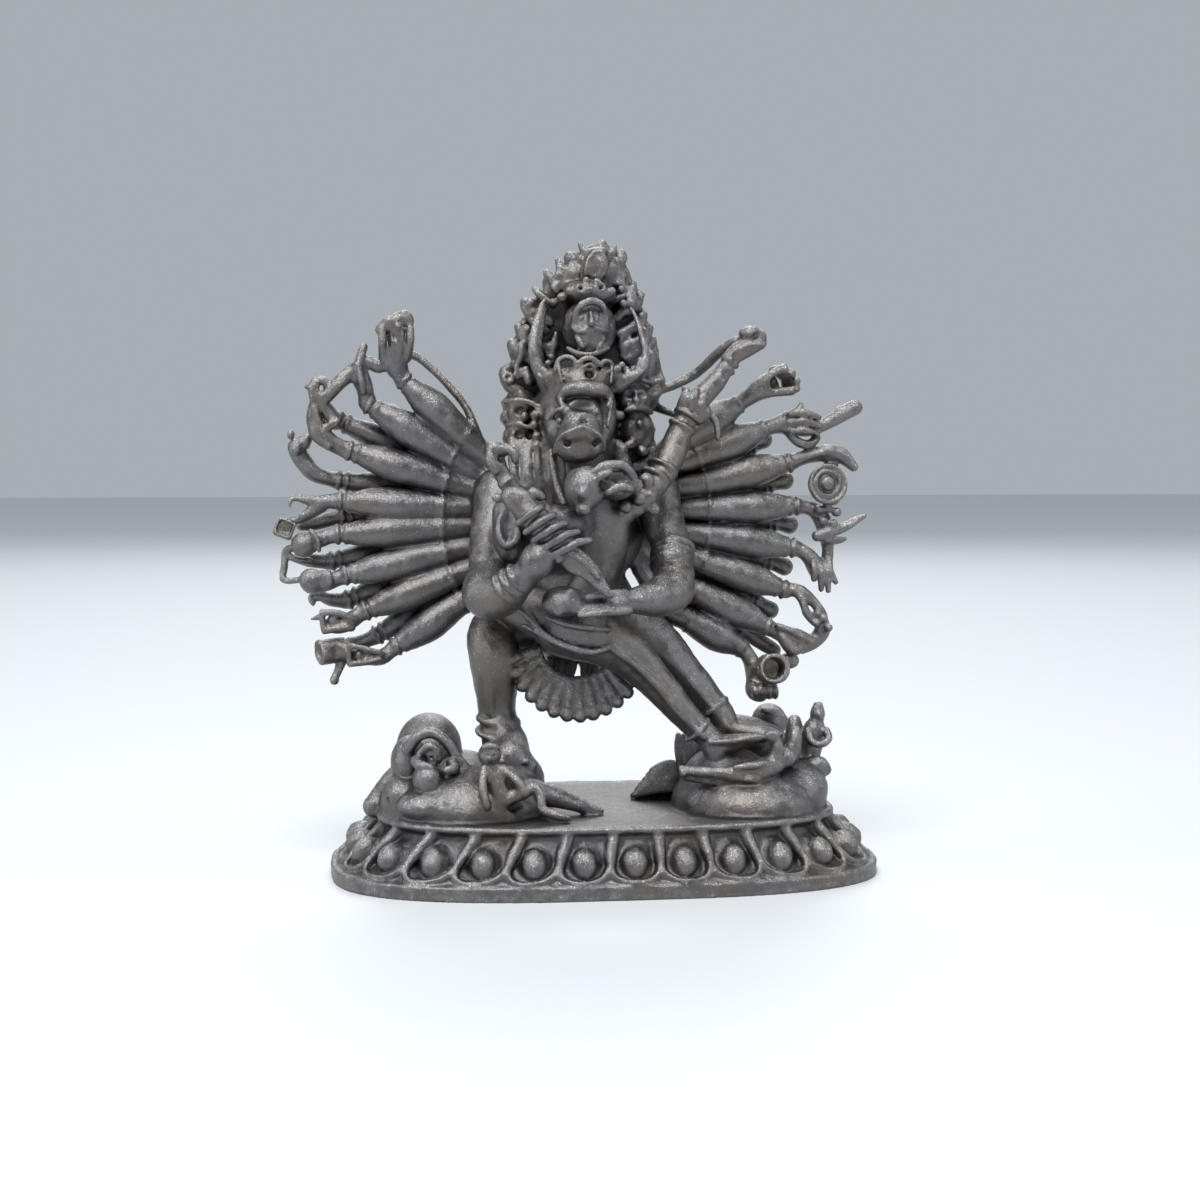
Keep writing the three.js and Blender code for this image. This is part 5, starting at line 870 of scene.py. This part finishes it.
def red_head(clay):
    """Wrathful head above the main one: arched brow, deep eyes, short nose, open mouth and jaw."""
    clay.ball((-1.2, -0.9, 42.6), (2.1, 2.0, 2.4), (0, 4, 0), 0.3)
    clay.ball((-1.4, -2.1, 42.6), (1.4, 1.35, 2.1), (0, 4, 0), 0.25)
    clay.rod([(-2.65, -2.6, 42.8, 0.22), (-2.5, -3.0, 43.8, 0.26), (-2.15, -3.3, 44.4, 0.3), (-1.35, -3.4, 44.75, 0.34),
              (-0.65, -3.3, 44.5, 0.3), (-0.3, -3.0, 44.0, 0.26), (-0.15, -2.7, 43.3, 0.22), (-0.15, -2.6, 42.7, 0.2)], 0.14)
    for x in (-2.05, -0.8):
        clay.ball((x, -3.55, 43.5), (0.42, 0.55, 0.42), blend=0.12, cut=True)
        clay.ball((x, -3.1, 43.45), (0.24, 0.24, 0.2), blend=0.08)
    clay.rod([(-1.42, -3.3, 43.9, 0.18), (-1.42, -3.55, 43.4, 0.22), (-1.42, -3.7, 43.0, 0.28)], 0.1)
    clay.line([(-2.8, -2.6, 42.75), (-2.4, -3.1, 42.4), (-1.85, -3.45, 42.45)], 0.2, 0.1)
    clay.line([(-1.05, -3.45, 42.65), (-0.5, -3.2, 42.5), (-0.05, -2.7, 42.4)], 0.2, 0.1)
    clay.ball((-1.42, -3.75, 42.1), (0.42, 0.55, 0.5), blend=0.1, cut=True)
    clay.line([(-2.5, -2.9, 42.0), (-2.3, -3.1, 41.6), (-2.05, -3.2, 41.2)], 0.19, 0.1)
    clay.line([(-0.4, -2.9, 41.95), (-0.5, -3.0, 41.6), (-0.75, -3.1, 41.2)], 0.19, 0.1)
    clay.line([(-3.0, -2.3, 41.1), (-2.3, -2.9, 40.7), (-1.5, -3.2, 40.6), (-0.8, -3.0, 40.8), (0.0, -2.3, 41.2)], 0.24, 0.12)
    for x, z in ((-4.3, 41.2), (-3.9, 41.9), (-4.1, 40.8), (1.5, 41.0), (1.9, 41.7), (1.3, 41.8)):
        clay.rod([(x, -0.3, z - 0.5, 0.3), (x + 0.1, -0.4, z + 0.4, 0.24)], 0.14)


def crest(clay):
    """Smallest head over the others, with the skulls under it, the tufts beside it and the knobs at the top."""
    clay.rod([(-0.9, 0.5, 45.7, 2.3), (-0.5, 0.5, 47.6, 1.7), (-0.2, 0.4, 48.6, 1.0)], 0.3, ((0, 1, 0), 0.75))
    clay.ball((-1.2, -1.1, 45.5), (2.1, 1.5, 0.9), (0, 6, 0), 0.25)
    clay.ball((-0.75, -0.8, 47.4), (1.0, 1.1, 1.35), blend=0.2)
    clay.ball((-0.85, -1.95, 47.5), (0.5, 0.5, 0.8), blend=0.1, cut=True)
    clay.ball((-0.85, -1.35, 47.45), (0.4, 0.35, 0.62), blend=0.06)
    clay.line([(-1.55, -1.5, 46.9), (-1.5, -1.6, 47.6), (-1.3, -1.5, 48.25), (-0.9, -1.4, 48.6)], 0.2, 0.12)
    clay.line([(-0.05, -1.5, 46.9), (0.05, -1.5, 47.6), (-0.1, -1.45, 48.25), (-0.5, -1.4, 48.6)], 0.19, 0.12)
    clay.ball((-0.5, -0.8, 48.7), (0.8, 0.8, 0.42), blend=0.14)
    for x, low, high in ((-3.0, 46.2, 47.9), (-2.65, 46.4, 48.3), (-2.1, 46.6, 48.5), (0.6, 46.4, 48.6), (1.05, 46.2, 48.4),
                         (1.5, 45.9, 47.6), (-3.7, 45.6, 46.8), (2.0, 45.2, 46.4)):
        sway = 0.16 * math.sin(7 * x)
        clay.rod([(x, -0.7, low, 0.26), (x + sway, -0.6, (low * 2 + high) / 3, 0.3), (x * 0.93 - sway, -0.4, (low + 2 * high) / 3, 0.26),
                  (x * 0.88, -0.1, high, 0.2)], 0.14)
    for x, z, size in ((-0.5, 45.85, 0.28), (-2.1, 45.75, 0.26)):
        clay.ring((x, -2.35, z), (0.05, -1, 0.15), size, 0.18, 0.12)
        clay.ball((x, -2.5, z), (0.16, 0.5, 0.16), blend=0.06, cut=True)
    for x, y, z, size in ((-0.8, -2.2, 46.3, 0.34), (-1.3, -2.5, 45.7, 0.3), (0.4, -2.0, 45.6, 0.36), (1.2, -1.5, 45.8, 0.32),
                          (-2.9, -1.8, 45.6, 0.36), (-3.4, -1.3, 45.1, 0.4), (-1.6, -2.0, 46.4, 0.3), (-4.0, -0.9, 44.8, 0.36),
                          (2.0, -0.9, 44.8, 0.4), (1.4, -1.3, 44.7, 0.34)):
        clay.ball((x, y, z), size, blend=0.14)
    clay.ring((-0.1, 0.2, 49.0), (0, 0, 1), 0.36, 0.2, 0.1)
    clay.ball((-0.05, 0.2, 49.4), 0.4, blend=0.08)
    clay.ball((1.45, 0.4, 48.6), 0.46, blend=0.1)
    clay.ball((-2.5, 0.5, 48.4), 0.42, blend=0.1)


def heads(clay):
    """All the stacked heads, from the main one up."""
    side_heads(clay)
    buffalo_head(clay)
    skull_crown(clay)
    red_head(clay)
    crest(clay)


def left_group(clay):
    """Mound at the left of the base with its crouching animal, seated figure and kneeling figure."""
    clay.ball((-11.2, -2.4, 5.6), (6.6, 6.4, 4.0), blend=0.5)
    clay.ball((-8.2, -2.6, 7.6), (3.2, 3.6, 2.6), blend=0.4)
    clay.ball((-13.8, 0.6, 9.6), (2.6, 3.0, 3.0), blend=0.4)
    clay.ball((-15.6, -3.0, 9.2), (1.4, 1.9, 2.1), blend=0.3)
    clay.ball((-16.2, -4.2, 7.0), (1.4, 1.6, 1.3), blend=0.3)
    clay.rod([(-15.7, -4.6, 10.4, 0.5), (-15.0, -5.2, 11.5, 0.48), (-13.9, -5.4, 11.8, 0.46), (-12.8, -5.4, 11.0, 0.42),
              (-12.0, -5.4, 9.8, 0.4), (-11.0, -5.4, 8.6, 0.34)], 0.1)
    clay.rod([(-14.9, -5.7, 10.2, 0.3), (-14.2, -6.2, 10.9, 0.32), (-13.5, -6.1, 10.5, 0.28)], 0.08)
    clay.ball((-13.8, -5.6, 10.1), (0.75, 0.8, 0.8), blend=0.12)
    clay.ball((-14.0, -6.25, 10.0), (0.14, 0.3, 0.14), cut=True, blend=0.05)
    clay.ball((-13.5, -6.25, 10.0), (0.14, 0.3, 0.14), cut=True, blend=0.05)
    clay.ball((-14.3, -6.2, 8.3), (1.25, 1.35, 1.25), blend=0.12)
    clay.rod([(-15.2, -5.8, 9.7, 0.45), (-14.9, -6.6, 9.5, 0.42), (-14.2, -6.9, 9.4, 0.3)], 0.08)
    clay.rod([(-12.5, -5.8, 9.5, 0.42), (-12.3, -6.6, 9.2, 0.4), (-13.0, -7.0, 9.1, 0.28)], 0.08)
    clay.ball((-14.3, -6.2, 6.4), (2.4, 2.2, 1.2), blend=0.3)
    clay.ball((-11.9, -6.6, 6.4), (1.5, 1.6, 0.9), blend=0.3)
    clay.ball((-9.7, -7.4, 10.35), (0.88, 0.9, 0.92), blend=0.08)
    clay.rod([(-10.3, -8.0, 10.9, 0.2), (-9.7, -8.2, 11.1, 0.24), (-9.1, -8.0, 10.9, 0.2)], 0.06)
    clay.ball((-9.95, -8.25, 10.35), (0.13, 0.25, 0.13), cut=True, blend=0.04)
    clay.ball((-9.45, -8.25, 10.35), (0.13, 0.25, 0.13), cut=True, blend=0.04)
    clay.ball((-9.7, -8.25, 10.1), (0.14, 0.2, 0.18), blend=0.05)
    clay.rod([(-9.5, -7.2, 9.4, 0.6), (-9.3, -7.3, 8.4, 0.85), (-8.8, -7.4, 7.0, 0.95)], 0.15)
    clay.rod([(-10.1, -7.6, 9.2, 0.38), (-10.3, -8.2, 8.2, 0.36), (-10.2, -8.5, 7.2, 0.34), (-10.0, -8.6, 6.6, 0.36)], 0.07)
    clay.rod([(-8.8, -7.5, 9.2, 0.4), (-8.0, -7.9, 8.7, 0.38), (-7.4, -8.2, 8.0, 0.36), (-7.1, -8.3, 7.4, 0.34)], 0.07)
    clay.rod([(-8.4, -7.6, 6.8, 0.7), (-7.3, -7.9, 7.4, 0.55), (-6.3, -8.1, 7.8, 0.44), (-5.9, -8.3, 7.0, 0.38),
              (-5.8, -8.4, 6.2, 0.36), (-4.8, -8.6, 5.75, 0.36), (-3.9, -8.7, 5.55, 0.28)], 0.08)
    clay.ball((-7.7, -7.8, 6.4), (0.7, 0.5, 0.5), blend=0.1, cut=True)
    clay.ball((-6.4, -4.6, 9.0), 0.7, blend=0.15)
    clay.rod([(-7.5, -5.2, 7.2, 1.4), (-4.6, -5.2, 6.6, 0.95), (-1.2, -5.4, 5.3, 0.4)], 0.2, ((0.35, 0, 0.94), 0.8))
    clay.rod([(-6.4, -5.6, 8.0, 0.24), (-3.9, -5.7, 7.1, 0.22), (-0.9, -5.6, 5.5, 0.2)], 0.08)
    clay.rod([(-18.2, -0.5, 5.4, 0.9), (-16.6, 1.5, 6.4, 1.4), (-15.0, 3.6, 7.4, 1.6)], 0.4)
    clay.ball((-11.5, 5.0, 6.4), (4.6, 3.4, 2.6), blend=0.5)
    clay.ball((-7.8, 3.4, 6.6), (2.4, 2.4, 2.2), blend=0.5)


def right_group(clay):
    """Mound at the right of the base with its lying and kneeling figures, animal and feathers."""
    clay.ball((11.2, -2.6, 5.4), (6.0, 6.4, 3.6), blend=0.5)
    clay.ball((9.4, -2.8, 7.4), (3.4, 3.8, 2.6), blend=0.4)
    clay.rod([(9.4, 0.8, 11.3, 1.0), (11.6, 1.0, 11.0, 1.1), (13.8, 1.4, 10.3, 1.0)], 0.3, ((0, 0, 1), 0.85))
    clay.ball((12.6, 1.6, 8.2), (3.6, 3.6, 3.0), blend=0.4)
    clay.ball((14.2, 3.4, 11.0), (1.45, 1.5, 1.55), blend=0.3)
    for rib in range(4):
        clay.rod([(13.4 + 0.1 * rib, 2.0 + 0.6 * rib, 12.2 - 0.1 * rib, 0.24), (15.0, 2.6 + 0.6 * rib, 11.8, 0.24),
                  (15.8, 3.0 + 0.5 * rib, 10.6, 0.22)], 0.12)
    clay.rod([(5.4, -6.3, 8.7, 0.34), (6.6, -6.6, 8.55, 0.42), (8.2, -6.8, 8.45, 0.5), (9.6, -6.9, 8.3, 0.78),
              (11.2, -6.7, 8.5, 0.88), (12.6, -6.3, 9.0, 0.8)], 0.12)
    clay.rod([(5.6, -6.0, 8.1, 0.34), (7.4, -6.4, 7.9, 0.45), (9.2, -6.6, 7.7, 0.6)], 0.1)
    clay.rod([(5.2, -6.5, 8.9, 0.22), (5.3, -6.5, 8.4, 0.3)], 0.08)
    clay.rod([(9.3, -7.4, 8.9, 0.28), (10.6, -7.6, 9.1, 0.3), (11.6, -7.3, 9.2, 0.28)], 0.08)
    clay.ball((10.4, -7.4, 8.0), (0.9, 0.5, 0.35), blend=0.12)
    clay.rod([(12.3, -6.2, 8.9, 0.65), (12.7, -6.6, 9.9, 0.5), (12.6, -6.8, 10.7, 0.42)], 0.12)
    clay.ball((12.2, -6.9, 11.3), (0.62, 0.6, 0.56), blend=0.08)
    clay.rod([(11.6, -7.1, 11.2, 0.2), (12.1, -7.4, 11.6, 0.22), (12.7, -7.1, 11.4, 0.2)], 0.06)
    clay.ball((13.5, -5.9, 9.4), 0.8, blend=0.2)
    clay.rod([(14.2, -4.2, 9.4, 0.8), (14.6, -4.4, 10.4, 0.55), (14.7, -4.2, 11.2, 0.5)], 0.2)
    clay.rod([(15.3, -1.6, 9.0, 1.0), (15.2, -1.5, 10.8, 0.72), (15.2, -1.5, 11.7, 0.55)], 0.2)
    clay.ball((16.95, -2.1, 12.35), (0.6, 0.62, 0.8), blend=0.08)
    clay.ball((16.95, -2.2, 13.0), (0.42, 0.42, 0.35), blend=0.08)
    clay.ball((16.95, -2.75, 12.3), (0.16, 0.2, 0.3), blend=0.05)
    clay.rod([(16.9, -2.0, 11.7, 0.45), (16.7, -2.0, 11.1, 0.85), (16.5, -2.0, 10.0, 0.95), (16.3, -2.1, 8.8, 0.85),
              (16.1, -2.2, 7.0, 1.1)], 0.15)
    clay.rod([(16.1, -2.7, 11.0, 0.34), (16.2, -3.2, 10.3, 0.32), (16.8, -3.4, 10.0, 0.3)], 0.07)
    clay.rod([(17.5, -2.6, 11.0, 0.36), (17.6, -3.2, 10.5, 0.32), (17.1, -3.5, 10.1, 0.3)], 0.07)
    clay.rod([(15.8, -2.8, 8.2, 0.6), (16.8, -3.5, 8.6, 0.55), (17.4, -3.0, 8.0, 0.5)], 0.12)
    clay.ball((16.8, -3.3, 9.4), (0.5, 0.4, 0.35), blend=0.1, cut=True)
    clay.ball((15.2, -3.2, 6.6), (2.2, 3.2, 2.2), blend=0.4)
    clay.ball((12.0, -6.0, 6.2), (2.6, 1.8, 1.0), blend=0.4)
    clay.ball((12.0, 4.8, 6.4), (4.4, 3.4, 2.6), blend=0.5)
    for feather in range(5):
        lean = feather * 0.42
        clay.rod([(6.2 + lean, 0.8 - lean, 10.4, 0.26), (6.1 + lean, 0.3 - lean, 9.0, 0.32), (6.5 + lean, 0.0 - lean, 6.6, 0.34)],
                 0.06)
    clay.rod([(7.2, 0.4, 9.8, 0.8), (7.4, 0.2, 7.0, 1.0)], 0.2)
    for feather in range(6):
        lift = 0.42 * feather
        clay.rod([(7.6, 1.0, 5.8 + 0.7 * lift, 0.4), (5.2 + 0.2 * lift, 1.2, 6.0 + lift, 0.36),
                  (2.7 + 0.75 * lift, 1.5, 5.5 + 0.95 * lift, 0.3)], 0.06)
    clay.rod([(7.4, 1.8, 6.2, 1.0), (5.0, 2.0, 6.0, 0.8), (3.4, 2.0, 5.6, 0.5)], 0.2)


def sculpt():
    """Presses every form of the casting into one body of clay, and cuts it flat at the underside."""
    clay = Clay()
    base_body(clay)
    petals(clay)
    rims(clay)
    left_group(clay)
    right_group(clay)
    legs(clay)
    garland(clay)
    trunk(clay)
    fans(clay)
    left_hands(clay)
    right_hands(clay)
    scarves(clay)
    consort(clay)
    main_arms(clay)
    flame_hair(clay)
    heads(clay)
    heights = GRID_LOW[2] + GRID_STEP * np.arange(clay.field.shape[2], dtype=np.float32)
    clay.field = np.maximum(clay.field, -heights[None, None, :])
    return clay


def surface_of(field):
    """Closed surface where the distance is zero: one point in each cell that it crosses, joined in fours."""
    inside = field < 0
    size = field.shape
    cells, places, faces = [], [], []
    for axis in range(3):
        first = [slice(0, -1) if a == axis else slice(1, -1) for a in range(3)]
        second = [slice(1, None) if a == axis else slice(1, -1) for a in range(3)]
        crossing = inside[tuple(first)] != inside[tuple(second)]
        at = np.argwhere(crossing)
        at += [0 if a == axis else 1 for a in range(3)]
        along = np.eye(3, dtype=int)[axis]
        start = field[tuple(at.T)]
        end = field[tuple((at + along).T)]
        share = start / (start - end)
        point = at + share[:, None] * along
        others = [a for a in range(3) if a != axis]
        corners = []
        for step in ((0, 0), (1, 0), (1, 1), (0, 1)):
            cell = at.copy()
            cell[:, others[0]] -= step[0]
            cell[:, others[1]] -= step[1]
            corners.append((cell[:, 0] * size[1] + cell[:, 1]) * size[2] + cell[:, 2])
        corners = np.stack(corners, axis=1)
        cells.append(corners.ravel())
        places.append(np.repeat(point, 4, axis=0))
        flip = (start < 0) if axis != 1 else (start >= 0)
        corners[~flip] = corners[~flip][:, ::-1]
        faces.append(corners)
    cells = np.concatenate(cells)
    places = np.concatenate(places)
    known, which = np.unique(cells, return_inverse=True)
    counts = np.bincount(which)
    points = np.stack([np.bincount(which, weights=places[:, a]) / counts for a in range(3)], axis=1)
    faces = np.searchsorted(known, np.concatenate(faces))
    return points, faces


def trilinear(values, places):
    """Reads a grid of values at places given in grid steps."""
    limit = np.array(values.shape) - 2
    low = np.clip(np.floor(places).astype(int), 0, limit)
    share = np.clip(places - low, 0, 1)
    total = np.zeros(len(places))
    for corner in range(8):
        step = np.array([corner >> 2 & 1, corner >> 1 & 1, corner & 1])
        weight = np.prod(np.where(step, share, 1 - share), axis=1)
        total += weight * values[tuple((low + step).T)]
    return total


def hollowness(field, reach):
    """How closed in each point is: 0 on a thin ridge, a half on a plain surface, 1 deep in a hollow."""
    coarse = np.clip(0.5 - field[::2, ::2, ::2] / (3 * GRID_STEP), 0, 1).astype(np.float32)
    steps = max(int(round(reach / (2 * GRID_STEP))), 1)
    for _ in range(2):
        for axis in range(3):
            padded = np.concatenate([np.zeros_like(coarse.take([0], axis))] * (steps + 1) + [coarse]
                                    + [np.zeros_like(coarse.take([0], axis))] * steps, axis)
            total = np.cumsum(padded, axis=axis, dtype=np.float32)
            length = coarse.shape[axis]
            ahead = total.take(range(2 * steps + 1, 2 * steps + 1 + length), axis)
            behind = total.take(range(0, length), axis)
            coarse = (ahead - behind) / (2 * steps + 1)
    return coarse


def roughness_at(places):
    """How rough the casting is at each point, from 0 to 1."""
    total = np.zeros(len(places))
    for middle, reach, amount in ROUGH_PLACES:
        far = np.linalg.norm((places - np.array(middle)) / np.array(reach), axis=1)
        total = np.maximum(total, amount * np.clip((1.15 - far) / 0.3, 0, 1))
    return total


def casting_waviness(places):
    """Unevenness of the cast skin, from lattices of seeded random values: slight, and coarser in rough places."""
    source = np.random.default_rng(7)
    rough = roughness_at(places)
    total = np.zeros(len(places))
    for cell, height, more in ((1.6, 0.04, 0.04), (0.8, 0.03, 0.10), (0.42, 0.02, 0.09)):
        lattice = source.uniform(-1, 1, tuple(int(50.6 / cell) + 3 for _ in range(3)))
        total += (height + more * rough) * trilinear(lattice, (places - np.array(GRID_LOW)) / cell)
    return total


def normals_of(field, points):
    """Direction out of the surface at points given in grid steps."""
    slopes = []
    for axis in range(3):
        step = np.eye(3)[axis] * 0.8
        slopes.append(trilinear(field, points + step) - trilinear(field, points - step))
    normals = np.stack(slopes, axis=1)
    return normals / np.maximum(np.linalg.norm(normals, axis=1, keepdims=True), 1e-6)


def statue_object(material):
    """The casting as one mesh, with how hollow each place is and how far it faces upward as attributes; the upward one
    drives a painted top sheen.
    """
    clay = sculpt()
    points, faces = surface_of(clay.field)
    outward = normals_of(clay.field, points)
    places = clay.low + points * GRID_STEP
    lift = casting_waviness(places) * np.clip(places[:, 2] / 0.8, 0, 1)
    near = trilinear(hollowness(clay.field, 0.5), points / 2)
    wide = trilinear(hollowness(clay.field, 1.5), points / 2)
    places = places + outward * lift[:, None]
    places[:, 2] = np.where(places[:, 2] < 0.03, 0.0, places[:, 2])
    mesh = bpy.data.meshes.new("statue_casting")
    mesh.vertices.add(len(places))
    mesh.vertices.foreach_set("co", (places * MM).astype(np.float32).ravel())
    mesh.loops.add(faces.size)
    mesh.loops.foreach_set("vertex_index", faces.astype(np.int32).ravel())
    mesh.polygons.add(len(faces))
    mesh.polygons.foreach_set("loop_start", np.arange(0, faces.size, 4, dtype=np.int32))
    mesh.update(calc_edges=True)
    mesh.validate()
    # upward is how far each place faces up; the material uses it for a painted top sheen.
    for name, values in (("hollow", near), ("depth", wide), ("upward", outward[:, 2] * 0.5 + 0.5)):
        layer = mesh.attributes.new(name, "FLOAT", "POINT")
        layer.data.foreach_set("value", values.astype(np.float32))
    mesh.polygons.foreach_set("use_smooth", np.ones(len(faces), dtype=bool))
    mesh.materials.append(material)
    statue = bpy.data.objects.new("statue_casting", mesh)
    bpy.context.scene.collection.objects.link(statue)
    thin = statue.modifiers.new("thin", "DECIMATE")
    thin.ratio = min(1.0, TRIANGLE_LIMIT / (2 * len(faces)))
    bpy.context.view_layer.objects.active = statue
    applied = bpy.data.meshes.new_from_object(statue.evaluated_get(bpy.context.evaluated_depsgraph_get()))
    statue.modifiers.clear()
    statue.data = applied
    return statue


def link(tree, source, target):
    """Joins an output to an input."""
    tree.links.new(source, target)


def node(tree, kind, settings=None, inputs=None):
    """New node with its settings and the values of its own inputs."""
    made = tree.nodes.new(kind)
    for name, value in (settings or {}).items():
        setattr(made, name, value)
    for name, value in (inputs or {}).items():
        made.inputs[name].default_value = value
    return made


def ramp(tree, source, stops):
    """Colour ramp with (position, grey or colour) stops."""
    made = tree.nodes.new("ShaderNodeValToRGB")
    elements = made.color_ramp.elements
    while len(elements) < len(stops):
        elements.new(0.5)
    for element, (position, colour) in zip(elements, stops):
        element.position = position
        element.color = (*colour, 1) if isinstance(colour, tuple) else (colour, colour, colour, 1)
    link(tree, source, made.inputs["Fac"])
    return made.outputs["Color"]


def attribute(tree, name):
    """Value that the mesh carries at each point."""
    return node(tree, "ShaderNodeAttribute", {"attribute_name": name}).outputs["Fac"]


def noise(tree, scale, detail, roughness):
    """Noise in the statue's own coordinates; the scale is in features per metre."""
    place = tree.nodes.new("ShaderNodeTexCoord")
    made = node(tree, "ShaderNodeTexNoise", inputs={"Scale": scale, "Detail": detail, "Roughness": roughness})
    link(tree, place.outputs["Object"], made.inputs["Vector"])
    return made.outputs["Fac"]


def maths(tree, operation, first, second):
    """Sum, product or other joining of two values; either may be a plain number."""
    made = node(tree, "ShaderNodeMath", {"operation": operation})
    for index, value in enumerate((first, second)):
        if isinstance(value, (int, float)):
            made.inputs[index].default_value = value
        else:
            link(tree, value, made.inputs[index])
    return made.outputs["Value"]


def mixed(tree, share, first, second):
    """Colour mix; either side may be a plain colour."""
    made = node(tree, "ShaderNodeMix", {"data_type": "RGBA"})
    link(tree, share, made.inputs["Factor"])
    for name, value in (("A", first), ("B", second)):
        socket = [s for s in made.inputs if s.name == name and s.type == "RGBA"][0]
        if isinstance(value, tuple):
            socket.default_value = (*value, 1)
        else:
            link(tree, value, socket)
    return [s for s in made.outputs if s.type == "RGBA"][0]


def cast_metal():
    """Dark patinated casting: dull grey metal, near black in hollows, lightened on raised places by wear mixed with a
    painted top sheen where they face upward, and with near-white flecks of grain painted on as glints.
    """
    material = bpy.data.materials.new("dark_cast_metal")
    material.use_nodes = True
    tree = material.node_tree
    shader = tree.nodes["Principled BSDF"]
    hollow = attribute(tree, "hollow")
    depth = attribute(tree, "depth")
    upward = attribute(tree, "upward")
    grain = noise(tree, 9000, 2.0, 0.6)
    mottle = noise(tree, 1100, 4.0, 0.6)
    stain = noise(tree, 170, 3.0, 0.55)
    # Painted top sheen mixed with wear: raised places, and most of all upward-facing ones where the light from above
    # falls, are lightened toward pale grey.
    wear_and_top_light_factor = maths(tree, "SUBTRACT", maths(tree, "MULTIPLY", upward, 0.5), maths(tree, "MULTIPLY", hollow, 0.6))
    wear_and_top_light_factor = maths(tree, "ADD", wear_and_top_light_factor, maths(tree, "MULTIPLY", mottle, 0.5))
    wear_and_top_sheen = ramp(tree, wear_and_top_light_factor, ((0.26, 0.0), (0.62, 1.0)))
    body = ramp(tree, mottle, ((0.3, (0.115, 0.110, 0.118)), (0.7, (0.185, 0.178, 0.180))))
    tarnish = ramp(tree, stain, ((0.42, 0.0), (0.66, 0.8)))
    body = mixed(tree, tarnish, body, (0.150, 0.132, 0.108))
    bright = mixed(tree, maths(tree, "MULTIPLY", wear_and_top_sheen, 0.7), body, (0.34, 0.33, 0.325))
    # Painted glints: near-white flecks on the grain, more where the painted top sheen is, stand in for light sparkling
    # off it.
    painted_glint = ramp(tree, maths(tree, "ADD", grain, maths(tree, "MULTIPLY", wear_and_top_sheen, 0.18)), ((0.66, 0.0), (0.80, 1.0)))
    with_painted_glints = mixed(tree, painted_glint, bright, (0.70, 0.68, 0.66))
    shade = ramp(tree, maths(tree, "ADD", hollow, maths(tree, "MULTIPLY", depth, 0.35)), ((0.60, 0.0), (1.0, 1.0)))
    dark = mixed(tree, shade, with_painted_glints, (0.026, 0.025, 0.028))
    link(tree, dark, shader.inputs["Base Color"])
    rough = ramp(tree, maths(tree, "SUBTRACT", mottle, maths(tree, "MULTIPLY", wear_and_top_sheen, 0.15)), ((0.2, 0.34), (0.7, 0.5)))
    link(tree, rough, shader.inputs["Roughness"])
    shader.inputs["Metallic"].default_value = 0.95
    bump = node(tree, "ShaderNodeBump", inputs={"Distance": 0.00012, "Strength": 0.8})
    height = maths(tree, "MULTIPLY", grain, maths(tree, "ADD", wear_and_top_sheen, 0.25))
    link(tree, maths(tree, "ADD", height, maths(tree, "MULTIPLY", mottle, 0.5)), bump.inputs["Height"])
    link(tree, bump.outputs["Normal"], shader.inputs["Normal"])
    return material


def floor():
    """Plain pale floor under the statue."""
    mesh = bpy.data.meshes.new("pale_floor")
    half = 1.2
    mesh.from_pydata([(-half, -half, 0), (half, -half, 0), (half, half, 0), (-half, half, 0)], [], [(0, 1, 2, 3)])
    material = bpy.data.materials.new("pale_floor")
    material.use_nodes = True
    shader = material.node_tree.nodes["Principled BSDF"]
    shader.inputs["Base Color"].default_value = (0.72, 0.74, 0.76, 1)
    shader.inputs["Roughness"].default_value = 0.55
    mesh.materials.append(material)
    made = bpy.data.objects.new("pale_floor", mesh)
    bpy.context.scene.collection.objects.link(made)


def lamp(name, place, target, size, power, colour=(1, 1, 1)):
    """Square soft light that looks at a point; lengths in metres."""
    data = bpy.data.lights.new(name, "AREA")
    data.size = size
    data.energy = power
    data.color = colour
    made = bpy.data.objects.new(name, data)
    made.location = place
    made.rotation_euler = (Vector(target) - Vector(place)).to_track_quat("-Z", "Y").to_euler()
    bpy.context.scene.collection.objects.link(made)


def lights():
    """Soft studio light: a large one high in front, a weaker one at each side, and a pale room."""
    middle = (0, 0, 0.025)
    lamp("key_light", (-0.10, -0.30, 0.44), middle, 0.26, 2.6)
    lamp("right_light", (0.42, -0.16, 0.2), middle, 0.24, 0.5, (0.95, 0.97, 1))
    lamp("left_light", (-0.42, -0.05, 0.16), middle, 0.24, 0.5, (0.95, 0.97, 1))
    lamp("back_light", (0.05, 0.4, 0.34), middle, 0.3, 0.9)
    world = bpy.data.worlds.new("pale_room")
    world.use_nodes = True
    background = world.node_tree.nodes["Background"]
    background.inputs["Color"].default_value = (0.78, 0.84, 0.9, 1)
    background.inputs["Strength"].default_value = 0.5
    bpy.context.scene.world = world
    bpy.context.scene.view_settings.view_transform = "Standard"


def camera():
    """Camera at the photograph's place, angle and lens."""
    data = bpy.data.cameras.new("photo_camera")
    data.lens = CAMERA_LENS
    data.sensor_width = 36
    data.clip_start = 0.01
    data.clip_end = 20
    made = bpy.data.objects.new("photo_camera", data)
    made.location = Vector(CAMERA_PLACE) * MM
    made.rotation_euler = (math.radians(90 - CAMERA_PITCH), 0, math.radians(CAMERA_AZIMUTH))
    bpy.context.scene.collection.objects.link(made)
    bpy.context.scene.camera = made


camera()
lights()
floor()
statue = statue_object(cast_metal())
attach(statue, "root")
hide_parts("yamantaka_statue")
